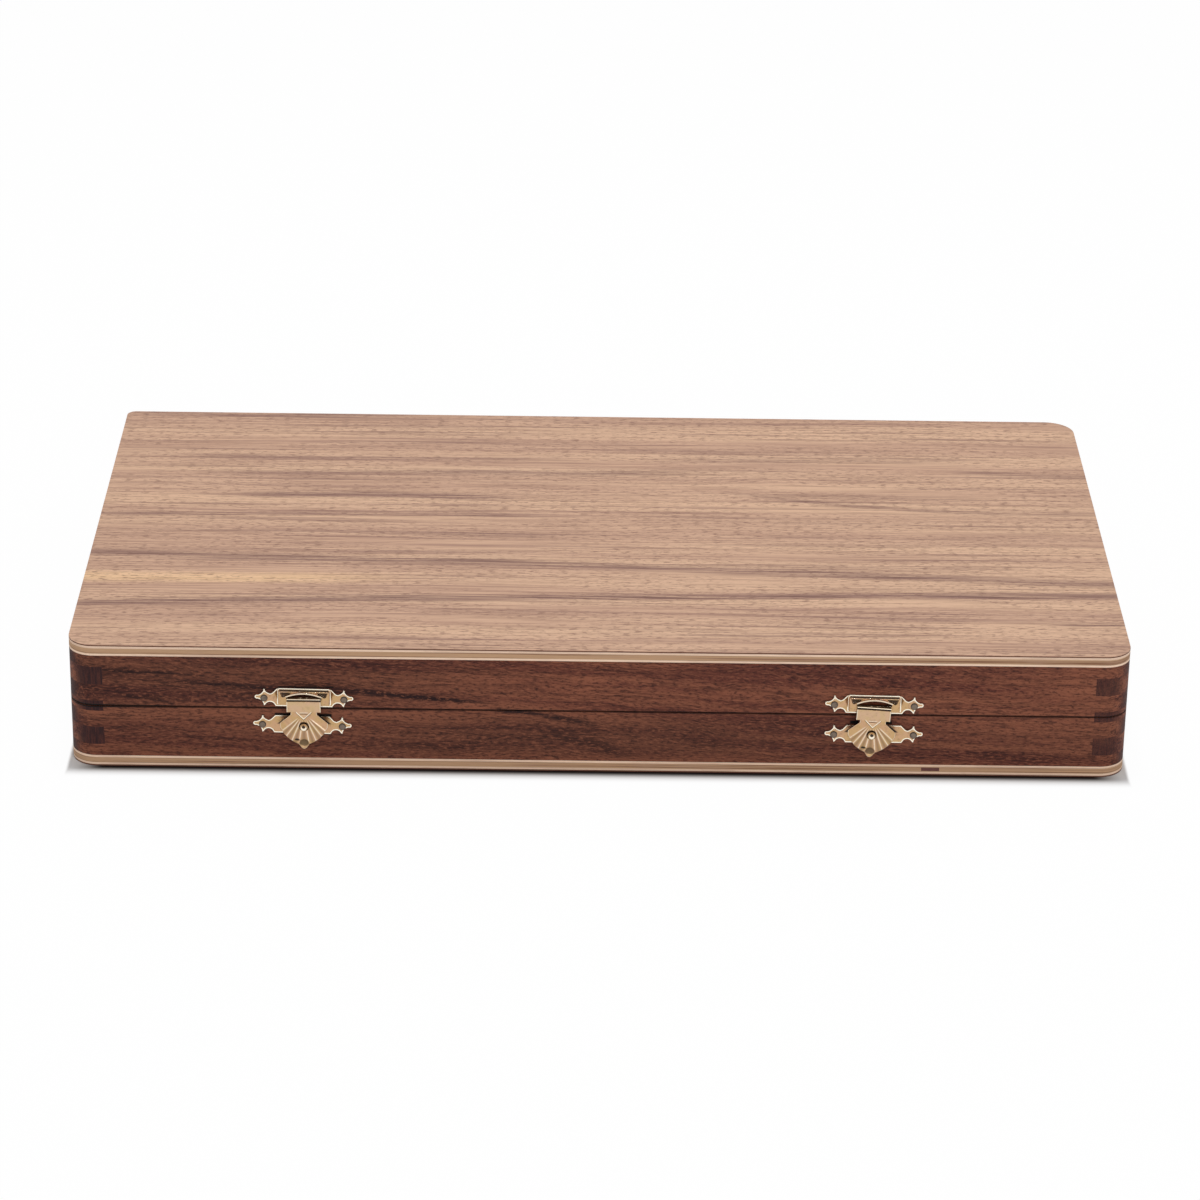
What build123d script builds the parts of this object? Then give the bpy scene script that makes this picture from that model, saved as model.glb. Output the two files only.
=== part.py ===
from build123d import *
import os
from math import cos, radians, sin

# Folding wooden backgammon case: two shallow trays, hinged along the back and latched in front.
# Millimetres. +X runs along the length, -Y is the front with the latches, +Z is up.
# The origin is the centre of the bottom face.

# Case, rails and panels
case_length = 380.0
case_depth = 220.5
wall = 12.5
rail_height = 19.6
seam_gap = 0.4
front_corner_radius = 9.5
back_left_radius = 3.5
back_right_radius = 11.0

# Plywood panel, from the outer face inwards
veneer = 0.5
face_ply = 0.8
core_ply = 2.05
back_ply = 0.8

# Finger joints, measured from the panel towards the seam
outer_front_finger = 4.5
side_finger = 6.9
inner_front_finger = 6.4

# Filler let into the front edge of the base panel's core
filler_place = 119.6
filler_width = 6.5
filler_height = 1.4
filler_depth = 6.0

# Playing field
field_thickness = 0.6
field_gap = 0.2
points_a_side = 6
point_length = 146.0
point_share = 0.88

# Draughtsmen and dice, stored on the base's field
man_diameter = 27.0
man_thickness = 7.5
man_sides = 20
man_gap = 1.5
men_long = 5
men_deep = 3
men_place = 86.0
dice_size = 9.0
dice_edge = 0.9
dice_spread = 17.0
dice_turn = 24.0

# Butt hinges, let into the seam faces of the back rails
hinge_spread = 220.0
leaf_length = 32.0
leaf_width = 9.0
leaf_thickness = 0.9
knuckle_radius = 1.9
knuckle_gap = 0.3
middle_knuckle = 11.0
pin_radius = 0.9
pin_play = 0.1
pin_head = 0.5
back_setback = 0.25
turning_gap = 0.4
hinge_sides = 24
leaf_fit = 0.1
screw_radius = 0.8
screw_head = 1.6
screw_length = 8.0
fastener_sides = 12
screw_spread = 20.0
screw_inset = 5.2

# Stamped latches: sheet, ornamental plates and their places
latch_left = -105.6
latch_right = 98.45
sheet = 0.6
keeper_rise = 4.4
keeper_turn = -0.8
left_plate_shift = -0.7
left_plate_drop = 6.2
left_plate_turn = -1.2
left_rivet_shift = 0.0
left_rivet_drop = 5.8
left_lean = 0.0
right_plate_shift = 0.15
right_plate_drop = 7.3
right_plate_turn = 0.0
right_rivet_shift = -0.8
right_rivet_drop = 6.5
right_lean = 3.5
plate_half = 17.6
plate_tip = 0.7
cross_place = 14.3
cross_reach = 3.4
cross_flank = 0.5
cross_shoulder = 2.3
tip_length = 1.0
tip_flank = 0.7
tip_shoulder = 1.6
waist_place = 12.1
waist_top = 1.25
notch_half = 0.8
notch_rise = 0.35
waist_bottom = -1.9
scoop_half = 1.7
scoop_foot = -3.0
foot_step = 0.3
body_half = 9.7
body_top = 3.3
body_bottom = -3.5
nail_radius = 0.6
nail_head = 1.3
nail_head_top = 1.0
nail_head_height = 0.45
nail_length = 7.0
nail_drop = 0.5

# Keeper: raised middle, window and arched lip
pad_rise = 2.0
pad_half = 9.4
pad_slope = 12.0
pad_foot = 0.9
pad_corner = 0.5
window_half = 6.3
window_sill = -0.1
arch_spring = 1.0
arch_rise = 1.4
arch_lip = 1.0
arch_thickness = 0.5
pocket_inner = 4.3
pocket_outer = 8.6
pocket_top = 2.6
pocket_slant = 0.6
pocket_heel = 0.9
pocket_step = 1.0
pocket_toe = 0.5
pocket_depth = 1.1

# Lever: rivet, tab with folded top, and scallop shell
lever_stand = 2.8
tab_half = 6.05
tab_top = 11.0
tab_bottom = 5.75
fold_radius = 0.75
hook_gap = 0.3
neck_half = 4.65
neck_height = 4.7
neck_trim = 1.0
shoulder_half = 8.5
shoulder_height = 1.4
fan_apex = 5.2
fan_mid_rim = 12.45
fan_side_rim = 9.6
middle_flute = 9.0
flute_pitch = 13.3
flutes_a_side = 4
flute_bulge = 0.25
ridge_start = 3.2
ridge_root = 0.3
ridge_flank = 0.04
ridge_crown = 0.04
lobe_half = 1.5
lobe_shoulder = -7.6
lobe_tip = -8.9
lobe_dimple_place = -6.4
lobe_dimple = 1.3
lobe_dimple_floor = 0.6
lobe_dimple_depth = 0.4
tongue_half = 2.75
tongue_tip = 3.0
tongue_rise = 0.25
rivet_radius = 0.8
rivet_play = 0.35
rivet_flange = 1.45
rivet_dome = 1.15
rivet_crown = 0.5
rivet_flange_height = 0.3
rivet_dome_height = 1.0
rivet_lift = 0.45
rivet_length = 4.0
seat_radius = 1.9
spring_width = 3.4
spring_thickness = 0.3
spring_flat = 3.0
spring_foot = 1.2
spring_drop = 5.4
spring_bend = 1.2
spring_gap = 0.3

panel = veneer + face_ply + core_ply + back_ply
half_height = panel + rail_height
case_height = 2 * half_height + seam_gap
seam_height = case_height / 2
front_face = -case_depth / 2
back_face = case_depth / 2
field_length = case_length - 2 * wall
field_depth = case_depth - 2 * wall
hinge_y = back_face + back_setback
inner_side_start = outer_front_finger + side_finger + inner_front_finger
front_levels = [(0, outer_front_finger), (outer_front_finger + side_finger, inner_front_finger)]
side_levels = [(outer_front_finger, side_finger), (inner_side_start, rail_height - inner_side_start)]

os.makedirs("parts", exist_ok=True)


def finish(piece, name):
    """Label a finished piece and write it."""
    piece.part.label = name
    export_step(piece.part, f"parts/{name}.step")


class Tray:
    """One half of the case: its name, the height of its outer face, and which way is inwards."""

    def __init__(self, name, outer_height, inward):
        self.name = name
        self.outer_height = outer_height
        self.inward = inward
        self.seam_face = outer_height + inward * half_height

    def plane(self, depth):
        """The level plane at a depth below the outer face."""
        return Plane.XY.offset(self.outer_height + self.inward * depth)


base = Tray("base", 0, 1)
lid = Tray("lid", case_height, -1)


# Rails and panels

with BuildSketch() as case_outline:
    Rectangle(case_length, case_depth)
    fillet(case_outline.vertices().group_by(Axis.Y)[0], front_corner_radius)
    fillet(case_outline.vertices().group_by(Axis.Y)[-1].sort_by(Axis.X)[0], back_left_radius)
    fillet(case_outline.vertices().group_by(Axis.Y)[-1].sort_by(Axis.X)[-1], back_right_radius)


def case_slab(tray, depth, thickness):
    """A layer of the panel, with the case's rounded outline."""
    with BuildPart() as slab:
        with BuildSketch(tray.plane(depth)):
            add(case_outline.sketch)
        extrude(amount=thickness * tray.inward)
    return slab


def corner_blocks(tray, levels):
    """The four corner blocks at the levels that the crossing rails fill."""
    with BuildPart() as blocks:
        for start, height in levels:
            with BuildSketch(tray.plane(panel + start)):
                with GridLocations(case_length - wall, case_depth - wall, 2, 2):
                    Rectangle(wall, wall)
            extrude(amount=height * tray.inward)
    return blocks


def fingered_rail(tray, middle, length, depth, levels):
    """A straight rail, cleared for the crossing rails' fingers and trimmed to the rounded outline."""
    clearings = corner_blocks(tray, levels)
    rounded = case_slab(tray, panel, rail_height)
    with BuildPart() as rail:
        with BuildSketch(tray.plane(panel)):
            with Locations(middle):
                Rectangle(length, depth)
        extrude(amount=rail_height * tray.inward)
        add(clearings.part, mode=Mode.SUBTRACT)
        add(rounded.part, mode=Mode.INTERSECT)
    return rail


def long_rail(tray, side):
    """A front (-1) or back (1) rail."""
    return fingered_rail(tray, (0, side * (case_depth - wall) / 2), case_length, wall, side_levels)


def short_rail(tray, side):
    """A left (-1) or right (1) rail."""
    return fingered_rail(tray, (side * (case_length - wall) / 2, 0), wall, case_depth, front_levels)


# Playing field

def point_shapes(side, start):
    """Every second point along one short rail, as flat triangles."""
    pitch = field_depth / points_a_side
    rail_edge = side * field_length / 2
    with BuildSketch() as shapes:
        for index in range(start, points_a_side, 2):
            middle = (index + 0.5) * pitch - field_depth / 2
            half = point_share * pitch / 2
            corners = [
                (rail_edge, middle - half),
                (rail_edge, middle + half),
                (rail_edge - side * point_length, middle),
            ]
            Polygon(*corners, align=None)
    return shapes


def point_set(tray, first):
    """The inlaid points of one tray that share a wood; facing points are of opposite woods."""
    left_shapes = point_shapes(-1, first)
    right_shapes = point_shapes(1, 1 - first)
    with BuildPart() as points:
        with BuildSketch(tray.plane(panel)):
            add(left_shapes.sketch)
            add(right_shapes.sketch)
            Rectangle(field_length - 2 * field_gap, field_depth - 2 * field_gap, mode=Mode.INTERSECT)
        extrude(amount=field_thickness * tray.inward)
    return points


def field_veneer(tray, inlays):
    """The field between the rails, cut out for the points."""
    with BuildPart() as field:
        with BuildSketch(tray.plane(panel)):
            Rectangle(field_length - 2 * field_gap, field_depth - 2 * field_gap)
        extrude(amount=field_thickness * tray.inward)
        for inlay in inlays:
            add(inlay.part, mode=Mode.SUBTRACT)
    return field


# Butt hinges

hinge_places = [-hinge_spread / 2, hinge_spread / 2]
middle_half = middle_knuckle / 2


def hinge_bars(radius, stretches):
    """Round bars on the hinge line, one for each stretch of every hinge."""
    with BuildPart() as bars:
        for place in hinge_places:
            for start, end in stretches:
                with BuildSketch(Plane.YZ.offset(place + start)):
                    with Locations((hinge_y, seam_height)):
                        RegularPolygon(radius, hinge_sides)
                extrude(amount=end - start)
    return bars


leaf_half = leaf_length / 2
outer_stretches = [(-leaf_half, -middle_half - knuckle_gap), (middle_half + knuckle_gap, leaf_half)]
middle_stretch = [(-middle_half, middle_half)]
outer_room = [(-leaf_half - turning_gap, -middle_half), (middle_half, leaf_half + turning_gap)]
middle_room = [(-middle_half - knuckle_gap, middle_half + knuckle_gap)]
whole_room = [(-leaf_half - pin_head - turning_gap, leaf_half + pin_head + turning_gap)]


def leaf_blocks(tray, margin):
    """The flat leaves of one tray, let in flush with its seam face, grown sideways by a margin."""
    with BuildPart() as blocks:
        with BuildSketch(Plane.XY.offset(tray.seam_face)):
            with Locations(*[(place, hinge_y - leaf_width / 2) for place in hinge_places]):
                Rectangle(leaf_length + 2 * margin, leaf_width + 2 * margin)
        extrude(amount=-leaf_thickness * tray.inward)
    return blocks


def hinge_screws(tray):
    """Countersunk screws of one tray's leaves."""
    points = [(place + side * screw_spread / 2, back_face - screw_inset)
              for place in hinge_places for side in (-1, 1)]
    under_leaf = tray.seam_face - tray.inward * leaf_thickness
    with BuildPart() as screws:
        with BuildSketch(Plane.XY.offset(under_leaf)):
            with Locations(*points):
                RegularPolygon(screw_radius, fastener_sides)
        extrude(amount=-tray.inward * (screw_length - leaf_thickness))
        for point in points:
            with BuildSketch(Plane.XY.offset(tray.seam_face)):
                with Locations(point):
                    RegularPolygon(screw_head, fastener_sides)
            with BuildSketch(Plane.XY.offset(under_leaf)):
                with Locations(point):
                    RegularPolygon(screw_radius, fastener_sides)
            loft(ruled=True)
    return screws


def hinge_leaf(tray, own_stretches, other_room, screws):
    """Two hinge leaves of one tray, with their knuckles bored for the pins."""
    flats = leaf_blocks(tray, 0)
    turning_room = hinge_bars(knuckle_radius + turning_gap, other_room)
    knuckles = hinge_bars(knuckle_radius, own_stretches)
    bores = hinge_bars(pin_radius + pin_play, whole_room)
    with BuildPart() as leaf:
        add(flats.part)
        add(turning_room.part, mode=Mode.SUBTRACT)
        add(knuckles.part)
        add(bores.part, mode=Mode.SUBTRACT)
        add(screws.part, mode=Mode.SUBTRACT)
    return leaf


def seat_hinges(rail, tray, screws):
    """Cut a back rail for its leaves, the turning knuckles and the screws."""
    mortises = leaf_blocks(tray, leaf_fit)
    knuckle_room = hinge_bars(knuckle_radius + turning_gap, whole_room)
    with BuildPart() as seated:
        add(rail.part)
        add(mortises.part, mode=Mode.SUBTRACT)
        add(knuckle_room.part, mode=Mode.SUBTRACT)
        add(screws.part, mode=Mode.SUBTRACT)
    return seated


# Stamped latches

def latch_plane(place, height, turn):
    """A plane on the front face, turned in its own plane."""
    return Plane(
        origin=(place, front_face, height),
        x_dir=(cos(radians(turn)), 0, sin(radians(turn))),
        z_dir=(0, -1, 0),
    )


with BuildSketch() as plate_outline:
    with BuildLine():
        Polyline((0, body_top), (body_half, body_top), (waist_place - notch_half, waist_top + notch_rise),
                 (waist_place, waist_top), (waist_place + notch_half, waist_top + notch_rise))
        ThreePointArc((waist_place + notch_half, waist_top + notch_rise),
                      (cross_place - cross_flank, cross_shoulder), (cross_place, cross_reach))
        ThreePointArc((cross_place, cross_reach), (cross_place + tip_flank, tip_shoulder),
                      (plate_half - tip_length, plate_tip))
        ThreePointArc((plate_half - tip_length, plate_tip), (plate_half, 0),
                      (plate_half - tip_length, -plate_tip))
        ThreePointArc((plate_half - tip_length, -plate_tip), (cross_place + tip_flank, -tip_shoulder),
                      (cross_place, -cross_reach))
        Line((cross_place, -cross_reach), (waist_place + scoop_half, scoop_foot))
        ThreePointArc((waist_place + scoop_half, scoop_foot), (waist_place, waist_bottom),
                      (waist_place - scoop_half, scoop_foot))
        Polyline((waist_place - scoop_half, scoop_foot), (waist_place - scoop_half - foot_step, body_bottom),
                 (0, body_bottom))
        mirror(about=Plane.YZ)
    make_face()


def latch_nails(seat):
    """Two nails in a plate, with low heads and square shanks."""
    face = seat.offset(sheet)
    with BuildPart() as nails:
        with BuildSketch(face):
            with Locations((-cross_place, -nail_drop), (cross_place, -nail_drop)):
                Rectangle(2 * nail_radius, 2 * nail_radius)
        extrude(amount=-nail_length)
        for side in (-1, 1):
            for height, radius in ((0, nail_head), (nail_head_height, nail_head_top)):
                with BuildSketch(face.offset(height)):
                    with Locations((side * cross_place, -nail_drop)):
                        RegularPolygon(radius, fastener_sides)
            loft(ruled=True)
    return nails


window_arch = [(-window_half, arch_spring), (0, arch_spring + arch_rise), (window_half, arch_spring)]


def keeper(seat, nails):
    """Lid plate: raised middle with a window under an arched lip, and pressed pockets beside it."""
    with BuildPart() as plate:
        with BuildSketch(seat):
            add(plate_outline.sketch)
        extrude(amount=sheet)
        with BuildSketch(seat) as pad:
            with BuildLine():
                Polyline((-pad_half, body_bottom + pad_foot), (pad_half, body_bottom + pad_foot),
                         (pad_half, body_top - pad_corner), (pad_half - pad_corner, body_top),
                         (pad_corner - pad_half, body_top), (-pad_half, body_top - pad_corner), close=True)
            make_face()
        extrude(amount=pad_rise, taper=pad_slope)
        with BuildSketch(seat.offset(pad_rise)):
            with BuildLine():
                ThreePointArc(*window_arch)
                offset(amount=arch_thickness, side=Side.LEFT)
            make_face()
        extrude(amount=arch_lip)
        with BuildSketch(seat):
            with BuildLine():
                ThreePointArc(*window_arch)
                Polyline((window_half, arch_spring), (window_half, window_sill),
                         (-window_half, window_sill), (-window_half, arch_spring))
            make_face()
        extrude(amount=pad_rise + arch_lip, mode=Mode.SUBTRACT)
        with BuildSketch(seat.offset(pad_rise)):
            for side in (-1, 1):
                corners = [(side * pocket_inner, pocket_top), (side * pocket_outer, pocket_top),
                           (side * (pocket_outer - pocket_slant), pocket_heel),
                           (side * (window_half + pocket_step), pocket_toe)]
                with BuildLine():
                    Polyline(*corners, close=True)
                make_face()
        extrude(amount=-pocket_depth, mode=Mode.SUBTRACT)
        add(nails.part, mode=Mode.SUBTRACT)
    return plate


def latch_plate(seat, nails, rivet):
    """Base plate under the lever."""
    with BuildPart() as plate:
        with BuildSketch(seat):
            add(plate_outline.sketch)
        extrude(amount=sheet)
        add(nails.part, mode=Mode.SUBTRACT)
        add(rivet.part, mode=Mode.SUBTRACT)
    return plate


fan_half = middle_flute + flutes_a_side * flute_pitch
ridge_angles = [side * (middle_flute + index * flute_pitch)
                for side in (-1, 1) for index in range(flutes_a_side)]


def fan_rim(angle):
    """How far the shell reaches from the fan's apex."""
    return fan_mid_rim - (fan_mid_rim - fan_side_rim) * abs(angle) / fan_half


def fan_point(angle, reach):
    """A point of the shell, at an angle from straight down and a reach from the apex."""
    return (reach * sin(radians(angle)), fan_apex - reach * cos(radians(angle)))


with BuildSketch() as fan_outline:
    with BuildLine():
        Polyline((0, neck_height), (neck_half, neck_height), (shoulder_half, shoulder_height),
                 fan_point(fan_half - flute_pitch / 2, fan_rim(fan_half)),
                 fan_point(fan_half - flute_pitch, fan_rim(fan_half - flute_pitch)))
        for index in range(flutes_a_side - 1):
            inner = middle_flute + index * flute_pitch
            middle = inner + flute_pitch / 2
            outer = inner + flute_pitch
            ThreePointArc(fan_point(inner, fan_rim(inner)), fan_point(middle, fan_rim(middle) + flute_bulge),
                          fan_point(outer, fan_rim(outer)))
        Line(fan_point(middle_flute, fan_rim(middle_flute)), (lobe_half, lobe_shoulder))
        ThreePointArc((lobe_half, lobe_shoulder), (0, lobe_tip), (-lobe_half, lobe_shoulder))
        mirror(about=Plane.YZ)
    make_face()


dimple_slope = (lobe_dimple - lobe_dimple_floor) / lobe_dimple_depth
dimple_cut = sheet


def flute_ridge(front, angle):
    """Narrow gable between two flutes, widening and rising from near the apex to the rim."""
    along = (sin(radians(angle)), -cos(radians(angle)))
    direction = front.x_dir * along[0] + front.y_dir * along[1]
    with BuildPart() as ridge:
        for reach in (ridge_start, fan_mid_rim):
            foot = front.from_local_coords((*fan_point(angle, reach), 0))
            half = reach * ridge_flank
            with BuildSketch(Plane(origin=foot, x_dir=front.z_dir, z_dir=direction)):
                Polygon((0, -half), (reach * ridge_crown, 0), (0, half), (-ridge_root, half),
                        (-ridge_root, -half), align=None)
        loft(ruled=True)
    return ridge


def lever(rivet_seat):
    """Hasp in one stamping: folded top, flat tab with a pointed tongue, scallop shell below."""
    back = rivet_seat.offset(lever_stand)
    front = rivet_seat.offset(lever_stand + sheet)
    ridges = [flute_ridge(front, angle) for angle in ridge_angles]
    with BuildPart() as shell:
        for ridge in ridges:
            add(ridge.part)
        with BuildSketch(back):
            add(fan_outline.sketch)
        extrude(amount=3 * sheet, mode=Mode.INTERSECT)
    profile_plane = Plane(
        origin=back.from_local_coords((-tab_half, 0, -lever_stand)),
        x_dir=back.y_dir,
        z_dir=back.x_dir,
    )
    face = lever_stand + sheet
    bend = tab_top - fold_radius
    hook_tip = pad_rise + hook_gap
    with BuildPart() as hasp:
        with BuildSketch(back):
            add(fan_outline.sketch)
        extrude(amount=sheet)
        with BuildSketch(profile_plane):
            with BuildLine():
                Line((neck_height, face), (bend, face))
                RadiusArc((bend, face), (tab_top, face - fold_radius), fold_radius)
                Polyline((tab_top, face - fold_radius), (tab_top, hook_tip), (tab_top - sheet, hook_tip),
                         (tab_top - sheet, face - fold_radius))
                RadiusArc((tab_top - sheet, face - fold_radius), (bend, lever_stand), sheet - fold_radius)
                Polyline((bend, lever_stand), (neck_height, lever_stand), (neck_height, face))
            make_face()
        extrude(amount=2 * tab_half)
        with BuildSketch(back):
            for side in (-1, 1):
                Polygon((side * tab_half, tab_bottom), (side * neck_half, neck_height),
                        (side * neck_half, neck_height - neck_trim),
                        (side * (tab_half + neck_trim), neck_height - neck_trim),
                        (side * (tab_half + neck_trim), tab_bottom), align=None)
        extrude(amount=sheet, mode=Mode.SUBTRACT)
        add(shell.part)
        with BuildSketch(back):
            Polygon((-tongue_half, tab_bottom), (tongue_half, tab_bottom), (0, tongue_tip), align=None)
            with Locations((0, (tab_bottom + bend) / 2)):
                Rectangle(2 * tab_half, bend - tab_bottom)
        extrude(amount=sheet + tongue_rise)
        with BuildSketch(front):
            Circle(seat_radius)
        extrude(amount=2 * sheet, mode=Mode.SUBTRACT)
        with BuildSketch(back):
            Circle(rivet_radius + rivet_play)
        extrude(amount=sheet, mode=Mode.SUBTRACT)
        for height in (-lobe_dimple_depth, dimple_cut):
            radius = lobe_dimple_floor + dimple_slope * (height + lobe_dimple_depth)
            with BuildSketch(front.offset(height)):
                with Locations((0, lobe_dimple_place)):
                    RegularPolygon(radius, fastener_sides)
        loft(ruled=True, mode=Mode.SUBTRACT)
    return hasp


def latch_rivet(rivet_seat):
    """Rivet that carries the lever: shank in the rail, flange and crowned head outside."""
    under_flange = lever_stand + sheet + rivet_lift
    flange_face = under_flange + rivet_flange_height
    with BuildPart() as rivet:
        with BuildSketch(rivet_seat.offset(-rivet_length)):
            RegularPolygon(rivet_radius, fastener_sides)
        extrude(amount=rivet_length + under_flange)
        with BuildSketch(rivet_seat.offset(under_flange)):
            RegularPolygon(rivet_flange, fastener_sides)
        extrude(amount=rivet_flange_height)
        for height, radius in ((0, rivet_dome), (rivet_dome_height, rivet_crown)):
            with BuildSketch(rivet_seat.offset(flange_face + height)):
                RegularPolygon(radius, fastener_sides)
        loft(ruled=True)
    return rivet


def latch_spring(rivet_seat, rivet):
    """Leaf spring between the plate and the shell, holed for the rivet."""
    profile_plane = Plane(
        origin=rivet_seat.from_local_coords((-spring_width / 2, 0, sheet)),
        x_dir=rivet_seat.y_dir,
        z_dir=rivet_seat.x_dir,
    )
    reach = lever_stand - sheet - spring_gap - spring_thickness
    lower = [(spring_flat, 0), (-spring_foot, 0), (spring_foot - spring_drop, reach), (-spring_drop, reach)]
    upper = [(along, out + spring_thickness) for along, out in lower]
    with BuildPart() as spring:
        with BuildSketch(profile_plane):
            with BuildLine():
                FilletPolyline(*lower, radius=spring_bend)
                FilletPolyline(*upper, radius=spring_bend)
                Line(lower[0], upper[0])
                Line(lower[-1], upper[-1])
            make_face()
        extrude(amount=spring_width)
        add(rivet.part, mode=Mode.SUBTRACT)
    return spring


# Draughtsmen and dice

def men(side):
    """Fifteen men of one colour, in a close block on the base's field."""
    pitch = man_diameter + man_gap
    with BuildPart() as block:
        with BuildSketch(base.plane(panel + field_thickness)):
            with Locations((side * men_place, 0)):
                with GridLocations(pitch, pitch, men_long, men_deep):
                    RegularPolygon(man_diameter / 2, man_sides)
        extrude(amount=man_thickness)
    return block


def dice():
    """Two dice between the blocks of men."""
    with BuildPart() as pair:
        for side in (-1, 1):
            with BuildSketch(base.plane(panel + field_thickness)):
                with Locations((0, side * dice_spread / 2)):
                    Rectangle(dice_size, dice_size, rotation=side * dice_turn)
            extrude(amount=dice_size)
        chamfer(pair.edges(), dice_edge)
    return pair


# Trays: panels, rails and fields

for tray in (base, lid):
    finish(case_slab(tray, 0, veneer), f"{tray.name}_outer_veneer")
    finish(case_slab(tray, veneer, face_ply), f"{tray.name}_face_ply")
    finish(case_slab(tray, panel - back_ply, back_ply), f"{tray.name}_back_ply")
    for side, side_name in ((-1, "left"), (1, "right")):
        finish(short_rail(tray, side), f"{tray.name}_{side_name}_rail")
    first_light = 0 if tray is base else 1
    light_points = point_set(tray, first_light)
    dark_points = point_set(tray, 1 - first_light)
    finish(light_points, f"{tray.name}_light_points")
    finish(dark_points, f"{tray.name}_dark_points")
    finish(field_veneer(tray, (light_points, dark_points)), f"{tray.name}_field")

finish(case_slab(lid, veneer + face_ply, core_ply), "lid_core_ply")

with BuildPart() as base_core_filler:
    with BuildSketch(base.plane(veneer + face_ply + (core_ply - filler_height) / 2)):
        with Locations((filler_place, front_face + filler_depth / 2)):
            Rectangle(filler_width, filler_depth)
    extrude(amount=filler_height)
finish(base_core_filler, "base_core_filler")

with BuildPart() as base_core_ply:
    add(case_slab(base, veneer + face_ply, core_ply).part)
    add(base_core_filler.part, mode=Mode.SUBTRACT)
finish(base_core_ply, "base_core_ply")

# Hinges and the back rails that hold them

for tray, stretches, room in ((base, outer_stretches, middle_room), (lid, middle_stretch, outer_room)):
    tray_screws = hinge_screws(tray)
    finish(tray_screws, f"{tray.name}_hinge_screws")
    finish(hinge_leaf(tray, stretches, room, tray_screws), f"{tray.name}_hinge_leaves")
    finish(seat_hinges(long_rail(tray, 1), tray, tray_screws), f"{tray.name}_back_rail")

hinge_pins = hinge_bars(pin_radius, [(-leaf_half - pin_head, leaf_half + pin_head)])
finish(hinge_pins, "hinge_pins")

# Latches and the front rails that hold them

base_front = long_rail(base, -1)
lid_front = long_rail(lid, -1)
left_latch = (
    latch_plane(latch_left, seam_height + keeper_rise, keeper_turn),
    latch_plane(latch_left + left_plate_shift, seam_height - left_plate_drop, left_plate_turn),
    latch_plane(latch_left + left_rivet_shift, seam_height - left_rivet_drop, -left_lean),
)
right_latch = (
    latch_plane(latch_right, seam_height + keeper_rise, keeper_turn),
    latch_plane(latch_right + right_plate_shift, seam_height - right_plate_drop, right_plate_turn),
    latch_plane(latch_right + right_rivet_shift, seam_height - right_rivet_drop, -right_lean),
)
for name, seats in (("left", left_latch), ("right", right_latch)):
    keeper_seat, plate_seat, rivet_seat = seats
    keeper_nails = latch_nails(keeper_seat)
    plate_nails = latch_nails(plate_seat)
    rivet = latch_rivet(rivet_seat)
    finish(keeper_nails, f"{name}_keeper_nails")
    finish(plate_nails, f"{name}_latch_nails")
    finish(rivet, f"{name}_latch_rivet")
    finish(keeper(keeper_seat, keeper_nails), f"{name}_keeper_plate")
    finish(latch_plate(plate_seat, plate_nails, rivet), f"{name}_latch_plate")
    finish(lever(rivet_seat), f"{name}_latch_lever")
    finish(latch_spring(rivet_seat, rivet), f"{name}_latch_spring")
    with base_front:
        add(plate_nails.part, mode=Mode.SUBTRACT)
        add(rivet.part, mode=Mode.SUBTRACT)
    with lid_front:
        add(keeper_nails.part, mode=Mode.SUBTRACT)
finish(base_front, "base_front_rail")
finish(lid_front, "lid_front_rail")

# Contents

finish(men(-1), "light_men")
finish(men(1), "dark_men")
finish(dice(), "dice")
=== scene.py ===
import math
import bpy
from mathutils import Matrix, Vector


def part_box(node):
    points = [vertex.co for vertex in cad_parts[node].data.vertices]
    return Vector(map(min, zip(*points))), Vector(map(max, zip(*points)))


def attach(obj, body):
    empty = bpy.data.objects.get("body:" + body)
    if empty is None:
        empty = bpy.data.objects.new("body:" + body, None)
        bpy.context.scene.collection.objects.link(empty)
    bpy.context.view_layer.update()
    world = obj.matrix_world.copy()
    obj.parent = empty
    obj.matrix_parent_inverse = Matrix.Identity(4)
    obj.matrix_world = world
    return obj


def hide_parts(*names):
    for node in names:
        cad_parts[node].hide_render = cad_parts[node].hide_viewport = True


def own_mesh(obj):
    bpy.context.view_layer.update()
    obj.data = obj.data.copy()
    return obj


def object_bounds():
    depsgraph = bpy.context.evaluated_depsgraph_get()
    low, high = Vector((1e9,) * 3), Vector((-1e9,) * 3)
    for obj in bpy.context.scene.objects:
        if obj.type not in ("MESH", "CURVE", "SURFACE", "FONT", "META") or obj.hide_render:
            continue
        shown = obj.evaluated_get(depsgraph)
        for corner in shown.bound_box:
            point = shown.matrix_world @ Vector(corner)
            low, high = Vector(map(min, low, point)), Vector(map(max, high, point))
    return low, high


bl_info = {
    "name": "Folding backgammon board",
    "version": (1, 0, 0),
    "blender": (4, 5, 0),
    "location": "3D View > Sidebar > Backgammon",
    "description": "Dresses the packed model of a folding backgammon board in wood, brass and steel",
    "category": "Object",
}

import bpy
from mathutils import Matrix, Vector

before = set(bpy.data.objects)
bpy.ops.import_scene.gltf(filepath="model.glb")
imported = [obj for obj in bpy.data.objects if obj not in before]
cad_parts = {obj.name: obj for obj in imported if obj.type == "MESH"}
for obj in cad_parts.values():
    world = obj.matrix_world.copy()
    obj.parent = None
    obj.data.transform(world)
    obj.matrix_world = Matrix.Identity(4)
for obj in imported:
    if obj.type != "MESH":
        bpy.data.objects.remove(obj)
cad_box = [list(corner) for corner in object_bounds()]

MM = 0.001


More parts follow.
